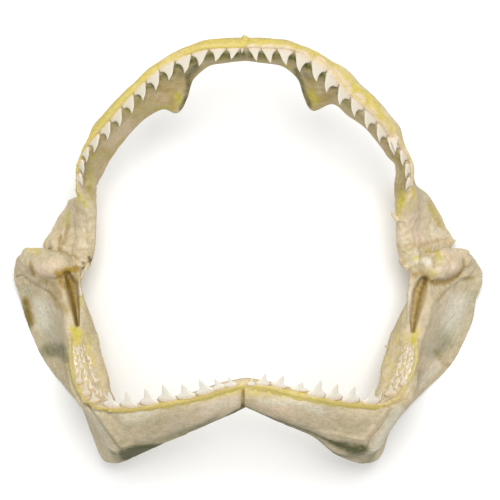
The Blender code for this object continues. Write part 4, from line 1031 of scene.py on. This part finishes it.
def paint_upper(jaw, masks, points, place, around):
    """A yellow outer band, a pink border round the teeth, a greenish inner face and painted shade
    in the hollow behind the teeth.
    """
    rough = 0.02 * noise(points, 9.0, 21) + 0.01 * noise(points, 3.0, 22)
    fade = step_down(place, *ROW_END)
    band_end = [turn - BAND_NARROWED[jaw.side] for turn in BAND_TURNS[1]]
    edge = step_down(around - 2.0 * rough, *band_end)
    band = step_up(around + rough, *BAND_TURNS[0]) * edge * fade
    band = band * (0.85 + 0.3 * noise(points, 14.0, 23))
    scallop = BORDER[0] + BORDER[1] * tooth_nearness(jaw, place)
    border = step_up(scallop - around + rough, -0.015, 0.015) * fade
    border *= step_up(around, -0.03, -0.01)
    masks["yellow"] = band * (1.0 - 0.8 * border)
    masks["grey"] = step_up(around + rough, *RIDGE_TURNS) * fade * 0.8
    inner = step_down(around - rough, *INSIDE_TURNS)
    masks["olive"] = inner * (0.60 + 0.40 * noise(points, 18.0, 24)) * fade
    add(masks, "olive", 0.75 * (step_down(place, *TIP_END) * step_up(around, *TIP_TURNS)))
    masks["pink"] = border * 0.85
    add(masks, "pink", inner * patches(points, 13.0, 25, 0.0, 0.5) * 0.7)
    # Painted shade in the hollow behind the teeth, stronger at the front.
    front = step_down(place, *FRONT_END)
    masks["shade"] = hump(around, HOLLOW_TURN, HOLLOW_WIDTH) * fade * (0.35 + 0.5 * front)
    masks["lime"] = inner * patches(points, 11.0, 26, 0.35, 0.75) * 0.5 * fade


def paint_lower(masks, points, normals, place, turn):
    """Painted shade under the front, a cream inner face darkened as painted shade, and the tissue
    of the shelf.
    """
    around = from_crest(turn)
    # Painted shade on the faces that turn down under the front.
    under = (step_down(normals[:, 1], *UNDER_SLOPES[0])
             * step_down(normals[:, 2], *UNDER_SLOPES[1]))
    masks["shade"] = under * step_down(place, *UNDER_END) * 0.8
    # The inner face: its own cream colour, darkened as painted shade.
    inner = step_down(around, *INNER_TURNS[1]) * step_up(place, *INNER_START)
    inner *= step_up(around, *INNER_TURNS[0])
    masks["cream"] = inner * (0.75 + 0.25 * noise(points, 20.0, 29))
    shelf = shelf_zone(place, turn)
    masks["pink"] = shelf * patches(points, 5.0, 30, -0.2, 0.4) * 0.8
    masks["yellow"] = shelf * patches(points, 5.0, 31, 0.0, 0.7) * 0.4


def paint(jaw, node, mesh, points, normals, place, turn):
    """Masks for the materials: where each colour lies, from 0 to 1."""
    masks = {name: np.zeros(len(points)) for name in MASKS}
    around = from_crest(turn)
    if jaw.kind == "upper_jaw":
        paint_upper(jaw, masks, points, place, around)
    else:
        paint_lower(masks, points, normals, place, turn)
    clouds = patches(points, 26.0, 27, 0.2, 0.8) * 0.35 * (1.0 - masks["cream"])
    add(masks, "grey", clouds)
    add(masks, "pink", patches(points, 17.0, 28, 0.2, 0.8) * 0.5)
    # Painted shade: olive on steep flanks, where the surface turns away from the light.
    steep = step_down(np.abs(normals[:, 2]), *STEEP)
    add(masks, "olive", steep * (0.5 + 0.2 * noise(points, 8.0, 32)))
    if jaw.kind == "lower_jaw":
        rim = step_up(around, *RIM_TURNS[0]) * step_down(place, *RIM_END)
        rim *= step_down(around, *RIM_TURNS[1])
        masks["olive"] *= 1.0 - 0.85 * rim
        add(masks, "pink", 0.85 * rim)
    spots = seen(points)
    facing = step_up(normals[:, 2], -0.3, 0.0)
    # Stains, painted shade and painted light, each along its line.
    for name, strength, line in STAINS_AND_PAINTED_SHADE_AND_LIGHT[node]:
        here = strength * facing * stroke(spots, line, MARK_SQUARE)
        if strength > 0.0:
            add(masks, name, here)
        else:
            masks[name] = masks[name] * (1.0 + here)
    for name in MASKS:
        put_attribute(mesh, name, masks[name])
    put_attribute(mesh, "along", place * STATION_LENGTH)
    put_attribute(mesh, "around", turn * SECTION_GIRTH)


# ---- teeth ----------------------------------------------------------------------
def tooth_frame(jaw, distance, rise):
    """Crest point, rearward, tip and outward directions of the tooth at a distance."""
    place = jaw.place_at(distance)
    crest, _, _, outward, _ = jaw.frame(place)
    along = (value_at(jaw.crests, place + HEADING_STEP)
             - value_at(jaw.crests, place - HEADING_STEP))
    along = along / np.linalg.norm(along)
    level = np.array((along[0], along[1], 0.0)) / math.hypot(along[0], along[1])
    inward = np.array((level[1], -level[0], 0.0)) * jaw.outer_sign
    tip_way = inward * math.cos(rise) + UP * math.sin(rise)
    rearward = along - tip_way * along.dot(tip_way)
    return crest, rearward / np.linalg.norm(rearward), tip_way, outward


def tooth_edges(kind, rearness):
    """The two edges of a tooth, blended from front to rear forms."""
    if kind == "lower_jaw":
        edges = EDGES["lower"]
    else:
        edges = [(1.0 - rearness) * np.array(front) + rearness * np.array(rear)
                 for front, rear in zip(EDGES["upper_front"], EDGES["upper_rear"])]
    result = []
    for edge in edges:
        values = [np.array(point, float) for point in edge]
        spots = np.linspace(0.0, len(values) - 1, TOOTH_ROWS)
        result.append(np.array([value_at(values, spot) for spot in spots]))
    return result


def tooth(kind, rearness, size):
    """Points (rearwards, to the tip, outwards) in mm, quads and root shares of a tooth."""
    width, height = size
    left, right = tooth_edges(kind, rearness)
    front_flesh, rear_flesh = TOOTH_FLESH[kind]
    depth = SERRATION[kind]
    columns = np.linspace(-1.0, 1.0, TOOTH_COLUMNS)
    points, roots = [], []
    for row in range(TOOTH_ROWS):
        near = np.array((left[row][0] * width, left[row][1] * height))
        far = np.array((right[row][0] * width, right[row][1] * height))
        up = 0.5 * (left[row][1] + right[row][1])
        crown = min(max(up / SAW_ENDS[0], 0.0), 1.0) * min((1.0 - up) / SAW_ENDS[1], 1.0)
        saw = depth * crown * (1.0 if row % 2 else -1.0)
        near[0] -= saw
        far[0] += saw
        taper = max(1.0 - up, 0.0) ** TAPER_POWER if up > 0.0 else 1.0
        at_root = math.exp(-((up - ROOT_BULGE[0]) / ROOT_BULGE[1]) ** 2)
        outer = front_flesh * (1.0 + ROOT_SWELL[kind] * at_root)
        inner = rear_flesh * (1.0 + INNER_SWELL * at_root)
        for face, flesh in ((1.0, outer), (-1.0, inner)):
            for column in columns if face > 0 else columns[::-1][1:-1]:
                share = 0.5 * (column + 1.0)
                across = near + (far - near) * share
                bulge = (1.0 - column * column) ** ROUNDING_POWER
                points.append((across[0], across[1], face * flesh * taper * bulge))
                roots.append(up)
    faces = ring_faces(TOOTH_ROWS, 2 * TOOTH_COLUMNS - 2)
    return np.array(points), faces, np.array(roots)


class TeethMesh:
    """Teeth that are placed one after another and made into one mesh."""

    def __init__(self):
        self.points, self.faces, self.roots, self.count = [], [], [], 0

    def add(self, shape, base, across, tip_way, toward):
        """Put a tooth on a base point, its outer face turned toward a direction."""
        points, faces, roots = shape
        face_way = np.cross(across, tip_way)
        face_way *= 1.0 if face_way @ toward > 0 else -1.0
        self.points.append(base + points[:, :1] * across + points[:, 1:2] * tip_way
                           + points[:, 2:] * face_way)
        self.faces += [tuple(index + self.count for index in face) for face in faces]
        self.roots.append(roots)
        self.count += len(points)

    def piece(self, name):
        """The mesh, with how far up its tooth each point is."""
        piece = new_piece(name, np.concatenate(self.points), self.faces)
        orient(piece.data)
        put_attribute(piece.data, "height", np.concatenate(self.roots))
        return piece


def row_piece(jaw, name):
    """The functional teeth of one half jaw as one mesh."""
    sizes = TEETH[jaw.kind]
    random = np.random.default_rng(5 if jaw.side > 0 else 6)
    teeth = TeethMesh()
    low = LOW_TEETH.get((jaw.kind, jaw.side), {})
    for index, (distance, width, height) in enumerate(sizes["rows"][jaw.side]):
        scale = min(width / FULL_WIDTH, 1.0)
        rearness = min(distance / LEAN_GROWS_TO, 1.0)
        shown = low.get(index, HEIGHT_SHOWN[jaw.kind])
        rise = math.radians(sizes["rise"] + random.uniform(-RISE_VARIES, RISE_VARIES))
        crest, rearward, tip_way, outward = tooth_frame(jaw, distance, rise)
        if jaw.kind == "upper_jaw":
            degrees, low_end, high_end = TURNED_BACK
            part = np.clip((distance - low_end) / (high_end - low_end), 0, 1)
            turned = math.radians(degrees) * part
            rearward, tip_way = (rearward * math.cos(turned) - tip_way * math.sin(turned),
                                 tip_way * math.cos(turned) + rearward * math.sin(turned))
        out, raised = sizes["seat"]
        out += random.uniform(-SEAT_VARIES, SEAT_VARIES) - (1.0 - shown) * height
        base = crest + outward * (out * scale) + UP * (raised * scale)
        shape = tooth(jaw.kind, rearness, (width, height * shown))
        teeth.add(shape, base, rearward, tip_way, UP)
    return teeth.piece(name)


def skin_tree(skin):
    """The faces of a skin, to find points on it."""
    points = [Vector(point) for point in read_points(skin.data)]
    return BVHTree.FromPolygons(points, [tuple(face.vertices) for face in skin.data.polygons])


def drop(tree, spot):
    """Where the skin lies under a spot of the view from above, and its normal, if it does."""
    across = (spot[0] - 0.5 * PICTURE_PIXELS) / FOCAL_PIXELS
    down = (0.5 * PICTURE_PIXELS - spot[1]) / FOCAL_PIXELS
    way = Vector((across, down, -1.0)).normalized()
    place, normal, _, _ = tree.ray_cast(Vector(CAMERA_PLACE), way)
    return (np.array(place), np.array(normal)) if place else None


def under_spot(spot, height):
    """The point at a height in mm that the view from above shows at a spot."""
    spread = (CAMERA_PLACE[2] - height) / FOCAL_PIXELS
    return np.array((CAMERA_PLACE[0] + (spot[0] - 0.5 * PICTURE_PIXELS) * spread,
                     CAMERA_PLACE[1] + (0.5 * PICTURE_PIXELS - spot[1]) * spread, height))


def line_at(line, part):
    """The point of a line of (across, down) rows at a part of its length."""
    rows = [np.array(row, float) for row in line]
    return value_at(rows, part * (len(rows) - 1))


def shelf_teeth(node, random):
    """Spot, width, height and tip way of each replacement tooth of a half jaw."""
    result = []
    if node in SHELVES:
        outer, inner, way = SHELVES[node]
        small, large = SHELF_SIZES
        most, shares = SHELF_BENDS
        for file, rows in enumerate(SHELF_ROWS):
            for row in range(rows):
                part = ((file + 0.5 * (row % 2) + 0.3) / SHELF_FILES) ** SHELF_CROWDING
                share = (row + 0.15) / rows
                spot = line_at(outer, part) * (1.0 - share) + line_at(inner, part) * share
                spot = spot + random.uniform(-SHELF_SCATTER, SHELF_SCATTER, 2)
                if any(math.dist(spot, root) < SINGLE_ROOM for root, _, _ in SINGLE_TEETH[node]):
                    continue
                grown = part * (1.0 - SHELF_SHRINKS * share) * random.uniform(*SHELF_VARIES)
                width = small[0] + (large[0] - small[0]) * grown
                height = small[1] + (large[1] - small[1]) * grown
                bent = random.uniform(-most, most, 3) * shares
                result.append((spot, width, height, np.array(way) + bent))
    return result


def shelf_piece(jaw, tree, node):
    """The replacement teeth of one half jaw as one mesh, set into the skin."""
    random = np.random.default_rng(17 if jaw.side > 0 else 18)
    teeth = TeethMesh()
    for spot, width, height, way in shelf_teeth(node, random):
        found = drop(tree, spot)
        if not found:
            continue
        foot, normal = found
        tip_way = np.array(way, float) - normal * (SHELF_LEVEL * normal.dot(way))
        tip_way /= np.linalg.norm(tip_way)
        across = np.cross(tip_way, normal)
        across /= np.linalg.norm(across)
        shape = tooth("lower_jaw", 0.0, (width, height))
        points, _, roots = shape
        points[:, 2] *= width / FULL_WIDTH * SHELF_THICKNESS
        curl = np.sin(math.pi * np.clip(roots, 0.0, 1.0))
        points[:, 0] += SHELF_CURL * width * curl * jaw.side
        base = foot + normal * random.uniform(*SHELF_LIFTS) - tip_way * (SHELF_SUNK * height)
        teeth.add(shape, base, across, tip_way, normal)
    for root, tip, width in SINGLE_TEETH[node]:
        found = drop(tree, root)
        if not found:
            continue
        foot = found[0] + UP * SINGLE_LIFT[0]
        under = drop(tree, tip) or found
        least, most = (foot[2] + rise for rise in SINGLE_RISE)
        level = min(max(under[0][2], least), most)
        tip_way = under_spot(tip, level + SINGLE_LIFT[1]) - foot
        reach = np.linalg.norm(tip_way)
        tip_way /= reach
        across = np.cross(tip_way, UP)
        across /= np.linalg.norm(across)
        shape = tooth(jaw.kind, 0.0, (width, reach))
        shape[0][:, 2] *= min(width / FULL_WIDTH * SINGLE_THICKNESS, 1.0)
        teeth.add(shape, foot, across, tip_way, UP)
    return teeth.piece(f"{node}_replacement_teeth")


def tags_piece(tree, node):
    """Small tapered tags that stand out from the edges of one half jaw."""
    all_points, faces = [], []
    for start, middle, end, thickness in TAGS[node]:
        found = drop(tree, start)
        if not found:
            continue
        foot, _ = found
        spread = (CAMERA_PLACE[2] - foot[2]) / FOCAL_PIXELS
        path = [foot - UP * TAG_SINKS[0]]
        for spot, sink in zip((middle, end), TAG_SINKS[1:]):
            away = np.subtract(spot, start) * spread
            path.append(foot + np.array((away[0], -away[1], -sink)))
        first = len(all_points)
        for step in range(TAG_STEPS + 1):
            part = step / TAG_STEPS
            centre = value_at(path, 2.0 * part)
            radius = 0.5 * thickness * math.sqrt(1.0 - TAG_TAPER * part)
            radius *= min(TAG_FOOT[0] + TAG_FOOT[1] * part, 1.0)
            way = value_at(path, min(2.0 * part + 0.1, 2.0)) - value_at(path, 2.0 * part - 0.1)
            side = np.cross(UP, way)
            side /= np.linalg.norm(side)
            top = np.cross(way, side) / np.linalg.norm(way)
            for index in range(TAG_AROUND):
                angle = 2.0 * math.pi * index / TAG_AROUND
                all_points.append(centre + radius * (side * math.cos(angle)
                                                     + top * TAG_FLATNESS * math.sin(angle)))
        faces += ring_faces(TAG_STEPS + 1, TAG_AROUND, first)
    piece = new_piece(f"{node}_tags", np.array(all_points), faces)
    orient(piece.data)
    return piece


def tooth_nearness(jaw, place):
    """1 in the middle of each tooth of the front row, 0 at its edges and beyond."""
    result = np.zeros(len(place))
    for distance, width, _ in TEETH[jaw.kind]["rows"][jaw.side]:
        low, high = (jaw.place_at(distance + share * width) for share in (-0.5, 0.5))
        away = (place - 0.5 * (low + high)) / (0.5 * (high - low))
        result = np.maximum(result, 1.0 - away * away)
    return result


def gum_piece(jaw, tree, node):
    """The dried gum along the foot of the front row, an uneven low ridge on the skin."""
    start, end = GUM_SPAN[jaw.kind]
    thick = GUM_THICKNESS[jaw.kind]
    distances = np.arange(0.0, GUM_REACH[jaw.kind], GUM_STEP)
    places = np.array([jaw.place_at(distance) for distance in distances])
    lobes = tooth_nearness(jaw, places)
    left = (distances[-1] - distances) / GUM_RUNOUT
    taper = np.sqrt(np.clip(left * (2.0 - left), 0.04, 1.0))
    taper = np.where(left < 1.0, taper, 1.0)
    common, on_tooth, by_chance = GUM_WIDTHS
    rows, rims = [], []
    for place, lobe, size in zip(places, lobes, taper):
        crest, _, _, outward, _ = jaw.frame(place)
        level = np.array((outward[0], outward[1], 0.0))
        level /= np.linalg.norm(level)
        uneven = 0.5 * noise(crest[None, :], *GUM_NOISES[0])[0]
        width = (end - start) * (common + on_tooth * lobe + by_chance * uneven) * size
        upper, lower = [], []
        for share in np.linspace(0.0, 1.0, GUM_COLUMNS):
            spot = crest + level * (start + width * share)
            hit, normal, _, _ = tree.ray_cast(Vector(spot + UP * FALL_HEIGHT), Vector(-UP))
            if hit is None:
                hit, normal, _, _ = tree.find_nearest(Vector(spot))
            foot, away = np.array(hit), np.array(normal)
            round_off = math.sqrt(max(1.0 - (2.0 * share - 1.0) ** 2, 0.0))
            grown = thick * size * (1.0 + 0.5 * uneven) * round_off
            upper.append(foot + away * (grown - GUM_EDGE_SINK))
            lower.append(foot - away * GUM_DEPTH)
            rims.append(share)
        rims += [1.0] * GUM_COLUMNS
        rows.append(upper + lower[::-1])
    points = np.concatenate([np.array(row) for row in rows])
    points[:, 2] += GUM_ROUGHNESS * noise(points, *GUM_NOISES[1])
    piece = new_piece(f"{node}_gum", points, ring_faces(len(rows), 2 * GUM_COLUMNS))
    orient(piece.data)
    put_attribute(piece.data, "rim", np.array(rims))
    return piece


# ---- materials --------------------------------------------------------------------
def linear(red, green, blue):
    """A screen colour from 0 to 255 as the shader's linear one."""
    values = [value / 255.0 for value in (red, green, blue)]
    return [value / 12.92 if value <= 0.04045 else ((value + 0.055) / 1.055) ** 2.4
            for value in values] + [1.0]


class Shader:
    """A small helper to build a node material."""

    def __init__(self, name, roughness, gloss):
        self.material = bpy.data.materials.new(name)
        self.material.use_nodes = True
        self.tree = self.material.node_tree
        self.surface = self.tree.nodes["Principled BSDF"]
        self.surface.inputs["Roughness"].default_value = roughness
        self.surface.inputs["Specular IOR Level"].default_value = gloss
        coordinates = self.tree.nodes.new("ShaderNodeTexCoord")
        self.place = coordinates.outputs["Object"]

    def node(self, kind, **values):
        """A node with its properties set."""
        made = self.tree.nodes.new(kind)
        for key, value in values.items():
            setattr(made, key, value)
        return made

    def link(self, start, end):
        """Join an output to an input."""
        self.tree.links.new(start, end)

    def attribute(self, name):
        """A number kept on the mesh."""
        return self.node("ShaderNodeAttribute", attribute_name=name).outputs["Fac"]

    def noise(self, size, detail=3.0, vector=None):
        """Noise with features of a size in mm."""
        made = self.node("ShaderNodeTexNoise")
        made.inputs["Scale"].default_value = 1.0 / (size * MM)
        made.inputs["Detail"].default_value = detail
        self.link(vector or self.place, made.inputs["Vector"])
        return made.outputs["Fac"]

    def math(self, operation, first, second, third=None):
        """A sum on numbers or outputs."""
        made = self.node("ShaderNodeMath", operation=operation)
        for socket, value in zip(made.inputs, (first, second, third)):
            if value is None:
                continue
            if isinstance(value, (int, float)):
                socket.default_value = value
            else:
                self.link(value, socket)
        return made.outputs[0]

    def limit(self, value):
        """A number kept between 0 and 1."""
        made = self.node("ShaderNodeClamp")
        self.link(value, made.inputs["Value"])
        return made.outputs["Result"]

    def span(self, value, low, high):
        """0 to 1 as a value goes from low to high."""
        made = self.node("ShaderNodeMapRange", interpolation_type="SMOOTHSTEP")
        self.link(value, made.inputs["Value"])
        made.inputs["From Min"].default_value = low
        made.inputs["From Max"].default_value = high
        return made.outputs["Result"]

    def vary(self, color, value, limits, dark, light):
        """A colour darkened to one share where a value is low and to another where it is high."""
        shares = self.mix(self.span(value, *limits), (*dark, 1.0), (*light, 1.0))
        return self.multiply(color, shares)

    def mix(self, factor, first, second):
        """Blend two colours, each a colour or an output."""
        made = self.node("ShaderNodeMix", data_type="RGBA")
        for socket, value in ((made.inputs[0], factor), (made.inputs[6], first),
                              (made.inputs[7], second)):
            if isinstance(value, (list, tuple, int, float)):
                socket.default_value = value
            else:
                self.link(value, socket)
        return made.outputs[2]

    def multiply(self, first, second):
        """The product of two colours."""
        made = self.node("ShaderNodeMix", data_type="RGBA", blend_type="MULTIPLY")
        made.inputs[0].default_value = 1.0
        self.link(first, made.inputs[6])
        self.link(second, made.inputs[7])
        return made.outputs[2]

    def bump(self, height, distance, strength=1.0):
        """Raise the surface by a height pattern, distance in mm."""
        made = self.node("ShaderNodeBump")
        made.inputs["Distance"].default_value = distance * MM
        made.inputs["Strength"].default_value = strength
        self.link(height, made.inputs["Height"])
        self.link(made.outputs["Normal"], self.surface.inputs["Normal"])


def cartilage_material(name, first, second):
    """Dried cartilage: patches, streaks along the jaw, and the stains, painted shade and painted
    light of the masks.
    """
    shader = Shader(name, *SURFACES["cartilage"])
    flow = shader.node("ShaderNodeCombineXYZ")
    shader.link(shader.math("MULTIPLY", shader.attribute("along"), 0.12), flow.inputs["X"])
    shader.link(shader.attribute("around"), flow.inputs["Y"])
    streaks = shader.noise(0.9 / MM, 4.0, flow.outputs[0])
    patches = shader.noise(9.0, 5.0)
    fine = shader.noise(1.3, 5.0)
    color = shader.mix(shader.span(patches, 0.38, 0.62), linear(*first), linear(*second))
    for mask, tint, size in TINTS:
        uneven = shader.math("MULTIPLY_ADD", shader.noise(size, 4.0), 1.6, 0.2)
        amount = shader.math("MULTIPLY", shader.attribute(mask), uneven)
        color = shader.mix(shader.limit(amount), color, linear(*tint))
    for pattern, limits, dark, light in (
            (streaks, (0.30, 0.70), (0.91, 0.90, 0.87), (1.03, 1.03, 1.02)),
            (fine, (0.30, 0.52), (0.86, 0.83, 0.76), (1.02, 1.02, 1.02)),
            (shader.noise(3.6, 4.0), (0.36, 0.64), (0.93, 0.92, 0.88), (1.03, 1.02, 1.02))):
        color = shader.vary(color, pattern, limits, dark, light)
    shader.link(color, shader.surface.inputs["Base Color"])
    relief = shader.math("MULTIPLY_ADD", streaks, 0.5, fine)
    shader.bump(relief, 0.3, 0.5)
    return shader.material


def gum_material(name, inner, inner_second, outer, turning):
    """Dried gum: pinkish beside the teeth, yellow where it runs out on the cartilage."""
    shader = Shader(name, *SURFACES["gum"])
    fine = shader.noise(1.2, 5.0)
    patches = shader.span(shader.noise(5.0, 4.0), 0.35, 0.65)
    color = shader.mix(patches, linear(*inner), linear(*inner_second))
    frayed = shader.math("MULTIPLY_ADD", shader.noise(3.0, 4.0), 0.9, shader.attribute("rim"))
    color = shader.mix(shader.span(frayed, turning, turning + 0.4), color, linear(*outer))
    color = shader.mix(shader.span(frayed, 1.25, 1.5), color, linear(*inner))
    color = shader.vary(color, fine, (0.32, 0.55), (0.88, 0.85, 0.78), (1.02, 1.02, 1.02))
    shader.link(color, shader.surface.inputs["Base Color"])
    shader.bump(fine, 0.25, 0.6)
    return shader.material


def tooth_material(name, crowns, roots):
    """Enamel over a porous root, both as pairs of colours."""
    shader = Shader(name, *SURFACES["tooth"])
    root = shader.span(shader.attribute("height"), 0.26, 0.04)
    mottle = shader.noise(2.2, 3.0)
    enamel = shader.mix(mottle, linear(*crowns[0]), linear(*crowns[1]))
    bone = shader.mix(shader.span(shader.noise(1.6, 4.0), 0.35, 0.65), linear(*roots[0]),
                      linear(*roots[1]))
    color = shader.mix(root, enamel, bone)
    shader.link(color, shader.surface.inputs["Base Color"])
    shader.bump(shader.noise(0.8, 4.0), 0.1, 0.5)
    return shader.material


# ---- light and camera ---------------------------------------------------------------
def add_light(name, place, size, power):
    """A square soft light that faces the jaws."""
    data = bpy.data.lights.new(name, "AREA")
    data.size = size * MM
    data.energy = power
    light = bpy.data.objects.new(name, data)
    bpy.context.scene.collection.objects.link(light)
    start, end = np.array(place) * MM, np.array(LIGHT_TARGET) * MM
    light.location = start
    way = end - start
    flat = math.hypot(way[0], way[1])
    light.rotation_euler = (math.atan2(flat, -way[2]), 0.0,
                            math.atan2(way[0], -way[1]) + math.pi)


def studio():
    """A pale floor, soft lights and the camera over the open mouth."""
    scene = bpy.context.scene
    scene.view_settings.view_transform = "Standard"
    world = bpy.data.worlds.new("studio")
    world.use_nodes = True
    background = world.node_tree.nodes["Background"]
    background.inputs["Color"].default_value = (1.0, 1.0, 1.0, 1.0)
    background.inputs["Strength"].default_value = WORLD_STRENGTH
    scene.world = world
    corners = ((-1, -1), (1, -1), (1, 1), (-1, 1))
    floor = new_piece("floor", [(x * FLOOR_HALF, y * FLOOR_HALF, -FLOOR_DROP)
                                for x, y in corners], [(0, 1, 2, 3)])
    shader = Shader("floor", *SURFACES["floor"])
    shader.surface.inputs["Base Color"].default_value = FLOOR_COLOR
    floor.data.materials.append(shader.material)
    for light in LIGHTS:
        add_light(*light)
    data = bpy.data.cameras.new("camera")
    data.sensor_width = SENSOR
    data.lens = FOCAL_PIXELS / PICTURE_PIXELS * SENSOR
    data.clip_start = NEAREST_SEEN * MM
    camera = bpy.data.objects.new("camera", data)
    camera.location = np.array(CAMERA_PLACE) * MM
    scene.collection.objects.link(camera)
    scene.camera = camera


def materials():
    """Every material by its name."""
    result = {}
    for kind in KINDS:
        part = kind.replace("_jaw", "")
        name = f"{part}_cartilage"
        result[name] = cartilage_material(name, *CARTILAGE_COLORS[kind])
        for _, side_name in SIDES:
            name = f"{part}_gum_{side_name}"
            rim = GUM_RIMS[f"{kind}_{side_name}"]
            result[name] = gum_material(name, *GUM_COLORS[kind], rim)
    for part, colors in TOOTH_COLORS.items():
        name = f"{part}_tooth"
        result[name] = tooth_material(name, *colors)
    return result


def main():
    """Build all pieces and set the studio."""
    looks = materials()
    for (side, side_name), kind in itertools.product(SIDES, KINDS):
        node = f"{kind}_{side_name}"
        part = kind.replace("_jaw", "")
        jaw = HalfJaw(kind, side)
        skin = cartilage(jaw, node)
        skin.data.materials.append(looks[f"{part}_cartilage"])
        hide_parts(node)
        tree = skin_tree(skin)
        gum = gum_piece(jaw, tree, node)
        gum.data.materials.append(looks[f"{part}_gum_{side_name}"])
        tags = tags_piece(tree, node)
        tags.data.materials.append(looks[f"{part}_cartilage"])
        teeth = row_piece(jaw, f"{node}_teeth")
        teeth.data.materials.append(looks[f"{part}_tooth"])
        pieces = [skin, gum, tags, teeth]
        if SINGLE_TEETH[node] or node in SHELVES:
            behind = shelf_piece(jaw, tree, node)
            behind.data.materials.append(looks[REPLACEMENT_LOOKS[kind]])
            pieces.append(behind)
        for piece in pieces:
            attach(piece, "root")
    studio()


main()
